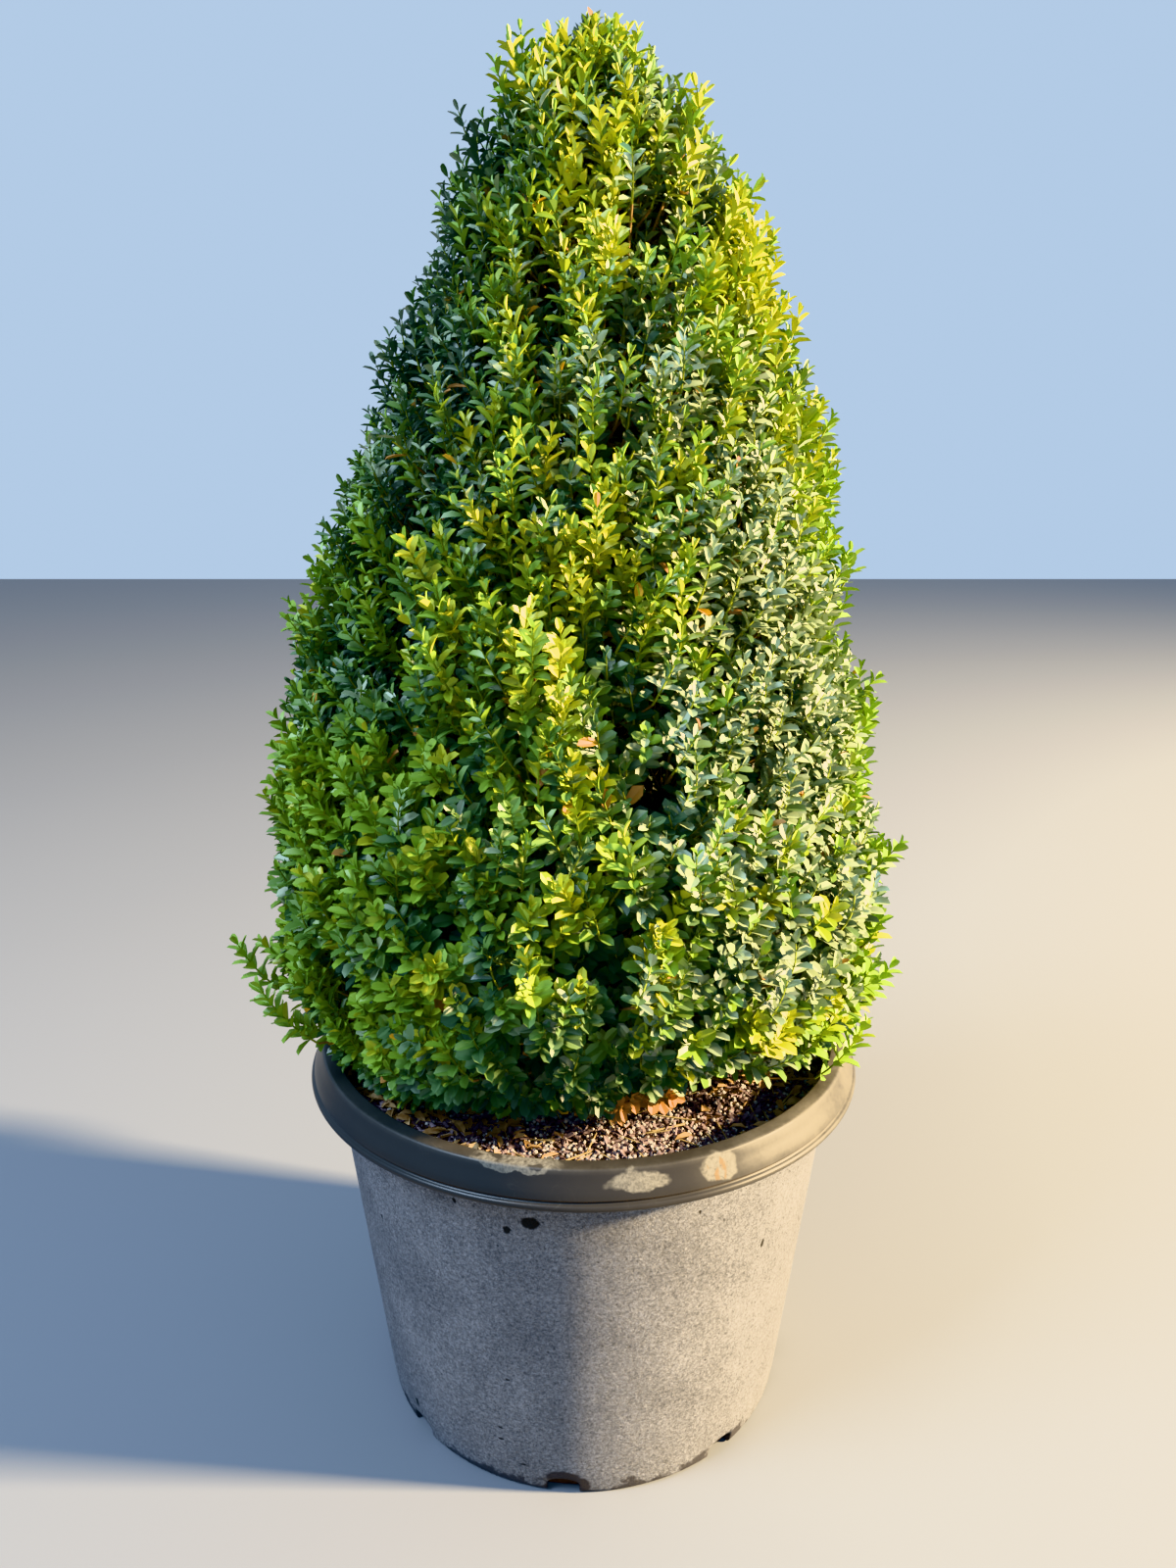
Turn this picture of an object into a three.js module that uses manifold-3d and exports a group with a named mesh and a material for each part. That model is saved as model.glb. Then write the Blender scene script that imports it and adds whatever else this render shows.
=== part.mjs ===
// A boxwood clipped to a blunt cone, growing in a round nursery pot.
// Millimetres, +Z up. The origin is the centre of the pot's flat underside, and -Y faces the viewer.
// The plant has one trunk whose leader runs up to the tip, and upright boughs round it.
// Each bough carries one wedge of the clipped crown, and the leader carries the tip.
import * as THREE from "three";
import { mergeVertices } from "three/addons/utils/BufferGeometryUtils.js";
import Module from "manifold-3d";

const wasm = await Module();
wasm.setup();

// Clearance between pieces that touch
const gap = 0.3;

// Pot: one moulding with a rolled rim, a tapered wall and drain notches at its foot
const pot = {
  height: 450,
  wall: 4,
  floor: 5,
  footRadius: 243,
  footRound: 7,
  wallTopRadius: 292.5,
  wallTopHeight: 411,
  rimInnerRadius: 290,
  rimFlatWidth: 14.5,
  rimSkirtRadius: 318,
  rimSkirtHeight: 421,
  grooveDepth: 2.2,
  beadRadius: 321.5,
  beadHeight: 8,
  sides: 48,
};
const notch = { count: 8, width: 36, height: 22, depth: 26, firstAngle: -5.3 };

// Growing mix: a root ball that fills the pot, a little shrunk from its wall at the top
const soil = {
  crownHeight: 430,
  edgeHeight: 416,
  trenchWidth: 22,
  trenchDepth: 9,
  flatRadius: 48,
  footShrink: 7,
  sides: 36,
};

// Crown outline: widest height and radius, tip and foot, and the powers that shape the curve
const crown = {
  tipHeight: 1512,
  wideHeight: 680,
  wideRadius: 352,
  shoulderPower: 1.15,
  roundPower: 0.56,
  footHeight: 440,
  footRadius: 205,
  tuckPower: 2.6,
  sway: 15,
  swayFoot: 550,
  swayLength: 520,
};
const core = {
  inset: 48,
  footLift: 14,
  hollowShare: 0.4,
  lump: 12,
  lumpLength: 62,
  stepHeight: 62,
  sides: 36,
};
const wedge = { count: 6, firstAngle: 12, seam: 5 };
const tipCone = { height: 1292, slope: 0.85, seam: 5 };

// Limbs
const trunk = {
  flareRadius: 33,
  radius: 21,
  tipRadius: 5.5,
  buried: 14,
  flareHeight: 62,
  tipHeight: 1276,
  lean: 14,
  taperPower: 0.8,
  sides: 10,
  steps: 20,
};
const bough = {
  radius: 11.5,
  tipRadius: 7.5,
  rootRadius: 4,
  forkHeight: 474,
  forkStep: 18,
  kneeRise: 48,
  upperRise: 118,
  crook: 4,
  tipHeight: 705,
  sides: 7,
  steps: 9,
};
const stem = { radius: 7, taper: 0.4, reach: 16, rise: 60, sides: 6, steps: 4 };

// Sprigs: short shoots of opposite leaves, each pair turned a quarter turn from the last
const sprig = {
  count: 96,
  seed: 20,
  twigRadius: 3,
  tipRadius: 2.2,
  sunk: 14,
  rise: 0.95,
  swing: 0.5,
  uneven: 14,
  clearOfSeam: 30,
  clearOfPot: 3,
};
const pairs = [
  { back: 33, spread: 64, size: 1 },
  { back: 12, spread: 46, size: 0.92 },
];
const leaf = {
  length: 58,
  width: 33,
  thickness: 3,
  widestAt: 0.58,
  rootAt: 0.8,
  tipSize: 0.8,
  sizeSpread: 0.12,
  angleSpread: 14,
  cup: 0.4,
};

// Shoots that crown the tip or that the shears missed: where the tip stands, and its reach from the axis
const strayShoots = [
  { azimuth: 286, height: 592, reach: 398 },
  { azimuth: 286, height: 545, reach: 352 },
  { azimuth: 74, height: 702, reach: 368 },
  { azimuth: 74, height: 532, reach: 366 },
  { azimuth: 282, height: 1436, reach: 126 },
  { azimuth: 76, height: 1352, reach: 162 },
  { azimuth: 90, height: 1506, reach: 38 },
  { azimuth: 275, height: 1508, reach: 20 },
  { azimuth: 265, height: 1500, reach: 66 },
  { azimuth: 0, height: 1500, reach: 45 },
  { azimuth: 180, height: 1502, reach: 48 },
];

const up = new THREE.Vector3(0, 0, 1);
const degrees = THREE.MathUtils.degToRad;

// Repeatable random numbers from 0 to 1
function seeded(seed) {
  let state = seed;
  return () => {
    state = (state + 0x6d2b79f5) | 0;
    let t = Math.imul(state ^ (state >>> 15), 1 | state);
    t = (t + Math.imul(t ^ (t >>> 7), 61 | t)) ^ t;
    return ((t ^ (t >>> 14)) >>> 0) / 4294967296;
  };
}

// A point at an azimuth in degrees, counted from -Y towards +X
function around(radius, azimuth, height) {
  const a = degrees(azimuth);
  return new THREE.Vector3(radius * Math.sin(a), -radius * Math.cos(a), height);
}

function azimuthOf(point) {
  return THREE.MathUtils.radToDeg(Math.atan2(point.x, -point.y));
}

// Outer radius of the clipped crown at a height, shrunk towards the axis by an inset
function crownRadius(height, inset = 0) {
  const { tipHeight, wideHeight, wideRadius, footHeight, footRadius } = crown;
  const top = tipHeight - inset;
  const wide = wideRadius - inset;
  if (height >= top) return 0;
  if (height >= wideHeight) {
    const t = (height - wideHeight) / (top - wideHeight);
    return wide * (1 - t ** crown.shoulderPower) ** crown.roundPower;
  }
  const foot = footRadius - inset * 0.5;
  const s = Math.min(1, (wideHeight - height) / (wideHeight - footHeight));
  return foot + (wide - foot) * (1 - s ** crown.tuckPower) ** (1 / crown.tuckPower);
}

// The crown's axis sways a little to the left and back to the right on its way up
function swayAt(height) {
  return -crown.sway * Math.sin((Math.PI * Math.max(0, height - crown.swayFoot)) / crown.swayLength);
}

function onCrown(radius, azimuth, height) {
  return around(radius, azimuth, height).add(new THREE.Vector3(swayAt(height), 0, 0));
}

// Turns a closed geometry into a solid that can be joined and cut
function solidOf(geometry) {
  const plain = geometry.clone();
  plain.deleteAttribute("normal");
  plain.deleteAttribute("uv");
  const merged = mergeVertices(plain, 1e-3);
  return new wasm.Manifold(
    new wasm.Mesh({
      numProp: 3,
      vertProperties: new Float32Array(merged.attributes.position.array),
      triVerts: new Uint32Array(merged.index.array),
    }),
  );
}

function geometryOf(solid) {
  const { vertProperties, triVerts } = solid.getMesh();
  const geometry = new THREE.BufferGeometry();
  geometry.setAttribute("position", new THREE.BufferAttribute(vertProperties, 3));
  geometry.setIndex(new THREE.BufferAttribute(triVerts, 1));
  const faceted = geometry.toNonIndexed();
  faceted.computeVertexNormals();
  return faceted;
}

function union(solids) {
  return solids.reduce((whole, next) => whole.add(next));
}

// Keeps the largest body of a solid, so that a loose scrap is dropped
function largest(solid) {
  return solid.decompose().reduce((a, b) => (a.volume() > b.volume() ? a : b));
}

// A profile of [radius, height] points turned round the Z axis
function turned(points, sides) {
  const profile = points.map(([r, z]) => new THREE.Vector2(r, z));
  return new THREE.LatheGeometry(profile, sides).rotateX(Math.PI / 2);
}

// Moves every corner of a geometry sideways with the crown's axis
function swayed(geometry) {
  const position = geometry.attributes.position;
  for (let i = 0; i < position.count; i++) {
    position.setX(i, position.getX(i) + swayAt(position.getZ(i)));
  }
  return geometry;
}

// A tapering limb: a capped cylinder bent along a curve, with its radius given at each share of the way
function limb(curve, radiusAt, sides, steps, startNormal = new THREE.Vector3(1, 0, 0)) {
  const geometry = new THREE.CylinderGeometry(1, 1, 1, sides, steps).rotateX(Math.PI / 2);
  const position = geometry.attributes.position;
  const frames = Array.from({ length: steps + 1 }, (_, i) => {
    const at = curve.getPointAt(i / steps);
    const along = curve.getTangentAt(i / steps);
    const side = startNormal.clone().addScaledVector(along, -startNormal.dot(along)).normalize();
    return { at, side, over: new THREE.Vector3().crossVectors(along, side) };
  });
  for (let i = 0; i < position.count; i++) {
    const share = THREE.MathUtils.clamp(position.getZ(i) + 0.5, 0, 1);
    const { at, side, over } = frames[Math.round(share * steps)];
    const radius = radiusAt(share);
    const point = at
      .clone()
      .addScaledVector(side, position.getX(i) * radius)
      .addScaledVector(over, position.getY(i) * radius);
    position.setXYZ(i, point.x, point.y, point.z);
  }
  return geometry;
}

// One leaf of eight faces: a flattened octahedron, widest past its middle, that runs from the origin along +Y
function leafBlade(length) {
  const scale = length / leaf.length;
  const blade = new THREE.OctahedronGeometry(1, 0);
  const position = blade.attributes.position;
  for (let i = 0; i < position.count; i++) {
    const y = position.getY(i);
    const along = Math.abs(y) < 0.5 ? leaf.widestAt : (y + 1) / 2;
    position.setXYZ(
      i,
      (position.getX(i) * leaf.width * scale) / 2,
      along * length,
      (position.getZ(i) * leaf.thickness) / 2,
    );
  }
  return blade;
}

// Places a blade with its base at a point, its length along one direction and its upper face towards another
function placedBlade(base, along, face, length) {
  const side = new THREE.Vector3().crossVectors(along, face).normalize();
  const normal = new THREE.Vector3().crossVectors(side, along);
  return leafBlade(length).applyMatrix4(new THREE.Matrix4().makeBasis(side, along, normal).setPosition(base));
}

// The trunk's centre line: a gentle lean with one soft bend, ending under the tip of the crown
const trunkLine = new THREE.CatmullRomCurve3([
  new THREE.Vector3(0, 0, soil.crownHeight - trunk.buried),
  new THREE.Vector3(trunk.lean * 0.2, trunk.lean * 0.1, 560),
  new THREE.Vector3(trunk.lean, trunk.lean * 0.4, 850),
  new THREE.Vector3(trunk.lean * 0.4, -trunk.lean * 0.3, 1100),
  new THREE.Vector3(trunk.lean * 0.6, 0, trunk.tipHeight),
]);
const trunkLength = trunkLine.getLength();

function trunkRadius(share, grown = 0) {
  const climbed = Math.max(0, share * trunkLength - trunk.buried);
  const flare = Math.max(0, 1 - climbed / trunk.flareHeight) ** 2;
  const shaft = THREE.MathUtils.lerp(trunk.radius, trunk.tipRadius, share ** trunk.taperPower);
  return shaft + (trunk.flareRadius - trunk.radius) * flare + grown;
}

// The trunk is cut flat where it stands on the growing mix
function trunkSolid(grown = 0) {
  const whole = solidOf(limb(trunkLine, (share) => trunkRadius(share, grown), trunk.sides, trunk.steps));
  const side = trunk.flareRadius * 4;
  const ground = new THREE.BoxGeometry(side, side, side).translate(0, 0, soil.crownHeight + gap - side / 2);
  return whole.subtract(solidOf(ground));
}

// A bough leaves the trunk at its own height, bends upright and ends where it enters its wedge
function boughLine(index) {
  const azimuth = wedge.firstAngle + (index * 360) / wedge.count;
  const height = bough.forkHeight + bough.forkStep * ((index * 2) % wedge.count);
  const tipRadius = hollowRadius(bough.tipHeight) - stem.reach;
  return new THREE.CatmullRomCurve3([
    around(bough.rootRadius, azimuth, height),
    around(tipRadius * 0.45, azimuth - bough.crook, height + bough.kneeRise),
    around(tipRadius * 0.8, azimuth + bough.crook, height + bough.upperRise),
    onCrown(tipRadius, azimuth, bough.tipHeight),
  ]);
}

function boughSolid(index) {
  const radiusAt = (share) => THREE.MathUtils.lerp(bough.radius, bough.tipRadius, share);
  const whole = solidOf(limb(boughLine(index), radiusAt, bough.sides, bough.steps));
  return largest(whole.subtract(trunkSolid(gap)));
}

// The stem of a wedge goes on from its bough's tip, a gap clear of it, up into the core
function stemSolid(index) {
  const line = boughLine(index);
  const start = line.getPointAt(1).addScaledVector(line.getTangentAt(1), gap);
  const azimuth = wedge.firstAngle + (index * 360) / wedge.count;
  const end = onCrown(hollowRadius(bough.tipHeight) + stem.rise, azimuth, bough.tipHeight + 2 * stem.rise);
  const middle = start.clone().addScaledVector(line.getTangentAt(1), stem.reach * 1.5);
  const curve = new THREE.QuadraticBezierCurve3(start, middle, end);
  return solidOf(limb(curve, (share) => stem.radius * (1 - stem.taper * share), stem.sides, stem.steps));
}

// Core of the crown: dense inner foliage that the leaves stand out of, bare and hollow round the leader
function coreRadius(height) {
  return crownRadius(height, core.inset);
}

function hollowRadius(height) {
  return coreRadius(height) * core.hollowShare;
}

function coreHeights() {
  const low = crown.footHeight + core.footLift;
  const high = crown.tipHeight - core.inset;
  const steps = Math.round((high - low) / core.stepHeight);
  return Array.from({ length: steps + 1 }, (_, i) => THREE.MathUtils.lerp(low, high, i / steps));
}

// Swells and hollows of the clipped surface, from three waves that run round and up it
function lumpAt(azimuth, height) {
  const a = degrees(azimuth);
  const rise = height / core.lumpLength;
  const waves = [Math.sin(5 * a + rise), Math.sin(8 * a - 1.7 * rise + 1), Math.sin(3 * a + 2.6 * rise)];
  return (core.lump * (waves[0] + waves[1] + waves[2])) / waves.length;
}

function fullCore() {
  const heights = coreHeights();
  const outline = heights.slice(0, -1).map((z) => [coreRadius(z), z]);
  const lathe = turned([[0, heights[0]], ...outline, [0, heights.at(-1)]], core.sides);
  const position = lathe.attributes.position;
  const corner = new THREE.Vector3();
  for (let i = 0; i < position.count; i++) {
    corner.fromBufferAttribute(position, i);
    const radius = Math.hypot(corner.x, corner.y);
    if (radius < core.lump * 2) continue;
    const swell = 1 + lumpAt(azimuthOf(corner), corner.z) / radius;
    position.setXY(i, corner.x * swell, corner.y * swell);
  }
  return solidOf(swayed(lathe));
}

function hollowSolid() {
  const heights = coreHeights().slice(0, -1);
  const wall = heights.map((z) => [hollowRadius(z), z]);
  wall[0][1] -= core.footLift;
  return solidOf(swayed(turned([[0, wall[0][1]], ...wall, [0, crown.tipHeight]], core.sides / 3)));
}

// Everything above a cone that opens upwards: the share of the crown that belongs to the tip
function aboveTipCone(shift) {
  const foot = tipCone.height + shift;
  const reach = crown.wideRadius;
  const rim = foot + reach * tipCone.slope;
  return solidOf(turned([[0, foot], [reach, rim], [reach, rim + reach], [0, rim + reach]], core.sides));
}

// The share of space of one wedge: two upright planes through the axis, half a seam clear of its neighbours
function wedgeSpace(index) {
  const half = 180 / wedge.count;
  const centre = wedge.firstAngle + (index * 360) / wedge.count;
  const shift = wedge.seam / 2 / Math.sin(degrees(half));
  const reach = crown.wideRadius * 2;
  const corner = around(shift, centre, 0);
  const shape = new THREE.Shape([
    new THREE.Vector2(corner.x, corner.y),
    ...[-half, 0, half].map((turn) => {
      const p = around(reach, centre + turn, 0).add(corner);
      return new THREE.Vector2(p.x, p.y);
    }),
  ]);
  return solidOf(new THREE.ExtrudeGeometry(shape, { depth: crown.tipHeight + 100, bevelEnabled: false }));
}

function wedgeIndexOf(azimuth) {
  const turn = (azimuth - wedge.firstAngle + 180 / wedge.count + 720) % 360;
  return Math.floor(turn / (360 / wedge.count));
}

// True when a point lies in the space that the mass may fill. The tip's index is the wedge count.
function inSpace(point, index) {
  const radius = Math.hypot(point.x, point.y);
  const above = point.z - tipCone.height - radius * tipCone.slope;
  if (index === wedge.count) return above > tipCone.seam;
  if (above > -tipCone.seam) return false;
  const centre = wedge.firstAngle + (index * 360) / wedge.count;
  const turn = degrees(azimuthOf(point) - centre);
  const away = Math.atan2(Math.sin(turn), Math.cos(turn));
  const toSeam = radius * Math.sin(degrees(180 / wedge.count) - Math.abs(away));
  return toSeam > wedge.seam / 2 && Math.abs(away) < degrees(180 / wedge.count);
}

// Slope of the outline as an outward normal in the plane of the radius and the height
function outlineNormal(height) {
  const rise = 4;
  const change = (crownRadius(height + rise) - crownRadius(height - rise)) / (2 * rise);
  return new THREE.Vector2(1, -change).normalize();
}

// Heights that share the crown's surface evenly among the sprigs
function evenHeights(count) {
  const low = crown.footHeight + 24;
  const high = crown.tipHeight - 26;
  const bands = 200;
  const areas = [0];
  for (let i = 1; i <= bands; i++) {
    const z = THREE.MathUtils.lerp(low, high, (i - 0.5) / bands);
    areas.push(areas[i - 1] + crownRadius(z) / outlineNormal(z).x);
  }
  return Array.from({ length: count }, (_, k) => {
    const wanted = ((k + 0.5) / count) * areas[bands];
    const band = areas.findIndex((a) => a >= wanted);
    return THREE.MathUtils.lerp(low, high, (band - 0.5) / bands);
  });
}

// Plans one sprig from its tip back to its root, which is sunk in the core
function planSprig(azimuth, height, reach, random) {
  const normal = outlineNormal(height);
  const outward = around(1, azimuth, 0);
  const tip = onCrown(reach, azimuth, height);
  const along = outward
    .clone()
    .multiplyScalar(normal.x)
    .addScaledVector(up, normal.y + sprig.rise);
  const swing = new THREE.Vector3().crossVectors(up, outward).multiplyScalar((random() - 0.5) * sprig.swing);
  along.add(swing).normalize();
  const end = tip.clone().addScaledVector(along, -leaf.length * leaf.tipSize);
  const root = end.clone();
  const step = 2;
  for (let depth = 0; depth < crown.wideRadius && !inCore(root); depth += step) {
    root.addScaledVector(along, -step);
  }
  root.addScaledVector(along, -sprig.sunk);
  return { root, end, along, outward };
}

function inCore(point) {
  return Math.hypot(point.x - swayAt(point.z), point.y) < coreRadius(point.z);
}

// True when every corner of a geometry lies in the mass's space, over the rim and over the soil
function keepsToSpace(geometry, index) {
  const corners = geometry.attributes.position;
  const corner = new THREE.Vector3();
  for (let i = 0; i < corners.count; i++) {
    corner.fromBufferAttribute(corners, i);
    if (!inSpace(corner, index) || !clearOfPot(corner)) return false;
  }
  return true;
}

// Solids of one sprig: its twig, and the leaves that stay in the mass's own space
function sprigSolids({ root, end, along, outward }, index, random) {
  const line = new THREE.LineCurve3(root, end);
  const radiusAt = (share) => THREE.MathUtils.lerp(sprig.twigRadius, sprig.tipRadius, share);
  const twig = limb(line, radiusAt, 3, 1, outward);
  if (!keepsToSpace(twig, index)) return [];
  const solids = [solidOf(twig)];
  const side = new THREE.Vector3().crossVectors(along, outward).normalize();
  const quarter = random() * Math.PI;
  const addLeaf = (base, direction, face, length) => {
    const blade = placedBlade(base, direction, face, length);
    if (keepsToSpace(blade, index)) solids.push(solidOf(blade));
  };
  pairs.forEach(({ back, spread, size }, pair) => {
    const angle = degrees(spread + (random() - 0.5) * leaf.angleSpread);
    const length = leaf.length * size * (1 - random() * leaf.sizeSpread);
    for (const half of [0, Math.PI]) {
      const away = side.clone().applyAxisAngle(along, quarter + (pair * Math.PI) / 2 + half);
      const direction = along.clone().multiplyScalar(Math.cos(angle)).addScaledVector(away, Math.sin(angle));
      const base = end.clone().addScaledVector(along, -back).addScaledVector(direction, leaf.rootAt);
      addLeaf(base, direction, along.clone().addScaledVector(away, -leaf.cup), length);
    }
  });
  const lastAway = side.clone().applyAxisAngle(along, quarter + Math.PI / 2);
  addLeaf(end.clone().addScaledVector(along, -leaf.rootAt * 2), along, lastAway, leaf.length * leaf.tipSize);
  return solids;
}

// Leaves over the rim stay above it, and those inside it stay above the soil
function clearOfPot(point) {
  const radius = Math.hypot(point.x, point.y);
  const floor = radius > pot.rimInnerRadius - 8 ? pot.height : soil.crownHeight;
  return point.z > floor + sprig.clearOfPot;
}

// Shares the sprigs out among the masses, each nudged clear of the seams between wedges
function planCrown() {
  const random = seeded(sprig.seed);
  const goldenAngle = 180 * (3 - Math.sqrt(5));
  const plans = Array.from({ length: wedge.count + 1 }, () => []);
  const add = (azimuth, height, reach) => {
    const onCone = height - tipCone.height - reach * tipCone.slope;
    let index = wedge.count;
    let nudged = azimuth;
    if (onCone < 0) {
      index = wedgeIndexOf(azimuth);
      const centre = wedge.firstAngle + (index * 360) / wedge.count;
      const away = ((((azimuth - centre + 180) % 360) + 360) % 360) - 180;
      const share = Math.min(0.9, sprig.clearOfSeam / reach);
      const most = 180 / wedge.count - THREE.MathUtils.radToDeg(Math.asin(share));
      nudged = centre + THREE.MathUtils.clamp(away, -most, most);
    }
    plans[index].push(planSprig(nudged, height, reach, random));
  };
  evenHeights(sprig.count).forEach((height, k) => {
    const azimuth = (k * goldenAngle + (random() - 0.5) * sprig.uneven) % 360;
    const tipHeight = height + (random() - 0.5) * sprig.uneven;
    add(azimuth, tipHeight, crownRadius(tipHeight) - random() * sprig.uneven);
  });
  strayShoots.forEach(({ azimuth, height, reach }) => add(azimuth, height, reach));
  return plans;
}

// Joins a mass's core, its stem and its sprigs into one body
function massSolid(index, coreSolid, stemOf, plans) {
  const random = seeded(sprig.seed + 101 * (index + 1));
  const sprigs = plans.flatMap((plan) => sprigSolids(plan, index, random));
  return largest(union([coreSolid, stemOf, ...sprigs]));
}

// The tip's stem stands on the leader's end
function tipStem() {
  const start = trunkLine.getPointAt(1).addScaledVector(up, gap);
  const line = new THREE.LineCurve3(start, start.clone().addScaledVector(up, stem.rise));
  return solidOf(limb(line, (share) => trunk.tipRadius * (1 - stem.taper * share), stem.sides, 1));
}

// The pot's section, from the floor's middle out to the rim and back down the inside
function potProfile() {
  const { height, wall, floor, footRadius, footRound, wallTopRadius, wallTopHeight } = pot;
  const { rimInnerRadius, rimFlatWidth, rimSkirtRadius, rimSkirtHeight } = pot;
  const { grooveDepth, beadRadius, beadHeight } = pot;
  const corner = [0, 45, 90].map((turn) => [
    footRadius - footRound + footRound * Math.sin(degrees(turn)),
    footRound - footRound * Math.cos(degrees(turn)),
  ]);
  const bead = [55, 0, -55].map((turn) => [
    beadRadius - beadHeight / 2 + (beadHeight / 2) * Math.cos(degrees(turn)),
    wallTopHeight + beadHeight / 2 + (beadHeight / 2) * Math.sin(degrees(turn)),
  ]);
  return [
    [0, 0],
    ...corner,
    [wallTopRadius, wallTopHeight],
    ...bead.reverse(),
    [rimSkirtRadius - grooveDepth, rimSkirtHeight - 1.5],
    [rimSkirtRadius, rimSkirtHeight + 1],
    [rimInnerRadius + rimFlatWidth + 2, height - 3.5],
    [rimInnerRadius + rimFlatWidth, height - 1],
    [rimInnerRadius + 2, height],
    [rimInnerRadius, height - 2],
    [wallTopRadius - wall, wallTopHeight],
    [footRadius - wall, floor + 6],
    [footRadius - wall - 6, floor],
    [0, floor],
  ];
}

// Inner radius of the pot's wall at a height, under the rim
function potInside(height) {
  const share = (height - pot.floor - 6) / (pot.wallTopHeight - pot.floor - 6);
  return THREE.MathUtils.lerp(pot.footRadius, pot.wallTopRadius, share) - pot.wall;
}

function notchSolid(index) {
  const azimuth = notch.firstAngle + (index * 360) / notch.count;
  const block = new THREE.BoxGeometry(notch.width, notch.depth, notch.height * 2);
  const place = around(pot.footRadius, azimuth, 0);
  return solidOf(block.rotateZ(degrees(azimuth)).translate(place.x, place.y, place.z));
}

function potSolid() {
  const notches = Array.from({ length: notch.count }, (_, i) => notchSolid(i));
  return solidOf(turned(potProfile(), pot.sides)).subtract(union(notches));
}

// The growing mix: flat under the trunk's foot, mounded, with a sunk trench beside the wall
function soilSolid() {
  const bottom = pot.floor + gap;
  const { crownHeight, edgeHeight, trenchWidth, trenchDepth, flatRadius, footShrink } = soil;
  const edge = potInside(edgeHeight - trenchDepth) - 1;
  return solidOf(
    turned(
      [
        [0, bottom],
        [pot.footRadius - pot.wall - footShrink, bottom],
        [pot.footRadius - pot.wall - 1, bottom + footShrink],
        [edge, edgeHeight - trenchDepth],
        [edge - trenchWidth * 0.4, edgeHeight - trenchDepth],
        [edge - trenchWidth, edgeHeight],
        [flatRadius * 3.4, THREE.MathUtils.lerp(edgeHeight, crownHeight, 0.6)],
        [flatRadius, crownHeight],
        [0, crownHeight],
      ],
      soil.sides,
    ),
  );
}

// Colours and finishes of the real materials
const looks = {
  pot: new THREE.MeshStandardMaterial({ color: 0x9b9689, roughness: 0.85, metalness: 0 }),
  soil: new THREE.MeshStandardMaterial({ color: 0x4a3a30, roughness: 1, metalness: 0 }),
  bark: new THREE.MeshStandardMaterial({ color: 0x8b7a5c, roughness: 0.9, metalness: 0 }),
  foliage: new THREE.MeshStandardMaterial({ color: 0x5f8f1e, roughness: 0.45, metalness: 0 }),
};

function piece(name, solid, look) {
  const mesh = new THREE.Mesh(geometryOf(solid), looks[look]);
  mesh.name = name;
  return mesh;
}

function makePlant() {
  const plant = new THREE.Group();
  plant.add(piece("pot", potSolid(), "pot"));
  plant.add(piece("root_ball", soilSolid(), "soil"));
  plant.add(piece("trunk", trunkSolid(), "bark"));
  const plans = planCrown();
  const fullBody = fullCore();
  const sideBody = fullBody.subtract(hollowSolid()).subtract(aboveTipCone(-tipCone.seam));
  for (let i = 0; i < wedge.count; i++) {
    const mass = massSolid(i, sideBody.intersect(wedgeSpace(i)), stemSolid(i), plans[i]);
    plant.add(piece(`bough_${i + 1}`, boughSolid(i), "bark"));
    plant.add(piece(`foliage_side_${i + 1}`, mass, "foliage"));
  }
  const tipMass = massSolid(wedge.count, fullBody.intersect(aboveTipCone(0)), tipStem(), plans[wedge.count]);
  plant.add(piece("foliage_tip", tipMass, "foliage"));
  return plant;
}

export default makePlant();
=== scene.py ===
import math
import random
from functools import partial

import bmesh
import bpy
import numpy as np
from mathutils import Matrix, Vector, noise


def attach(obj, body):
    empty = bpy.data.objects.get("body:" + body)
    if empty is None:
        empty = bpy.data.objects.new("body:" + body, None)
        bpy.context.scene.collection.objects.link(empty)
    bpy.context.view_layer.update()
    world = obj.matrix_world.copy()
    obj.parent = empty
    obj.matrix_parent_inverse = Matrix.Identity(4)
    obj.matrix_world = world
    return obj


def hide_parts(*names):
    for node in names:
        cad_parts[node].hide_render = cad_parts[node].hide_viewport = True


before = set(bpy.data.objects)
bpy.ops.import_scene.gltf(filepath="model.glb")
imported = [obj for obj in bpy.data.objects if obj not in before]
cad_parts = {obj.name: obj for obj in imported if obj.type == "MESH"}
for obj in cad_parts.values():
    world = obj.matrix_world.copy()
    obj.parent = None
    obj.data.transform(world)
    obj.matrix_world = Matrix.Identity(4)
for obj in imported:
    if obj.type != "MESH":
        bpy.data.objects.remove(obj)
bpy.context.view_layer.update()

up = Vector((0, 0, 1))
foliageNodes = [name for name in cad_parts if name.startswith("foliage")]
goldenAngle = 180 * (3 - math.sqrt(5))
# settings that many nodes share
multiply, subtract, larger = ({"operation": name} for name in ("MULTIPLY", "SUBTRACT", "MAXIMUM"))
colours = {"data_type": "RGBA", "out": 2}
eachShape = {"Separate Children": True, "Reset Children": True}


# small helpers

def linear(hexColour):
    # sRGB hex to the linear values that shaders use
    parts = [int(hexColour.lstrip("#")[i:i + 2], 16) / 255 for i in (0, 2, 4)]
    return tuple(c / 12.92 if c <= 0.04045 else ((c + 0.055) / 1.055) ** 2.4 for c in parts) + (1.0,)


def fill(node, inputs):
    # gives a node's inputs plain values or links to other nodes' sockets; a list fills them in order
    for key, value in inputs.items() if isinstance(inputs, dict) else enumerate(inputs):
        if isinstance(value, bpy.types.NodeSocket):
            node.id_data.links.new(value, node.inputs[key])
        else:
            node.inputs[key].default_value = value


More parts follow.
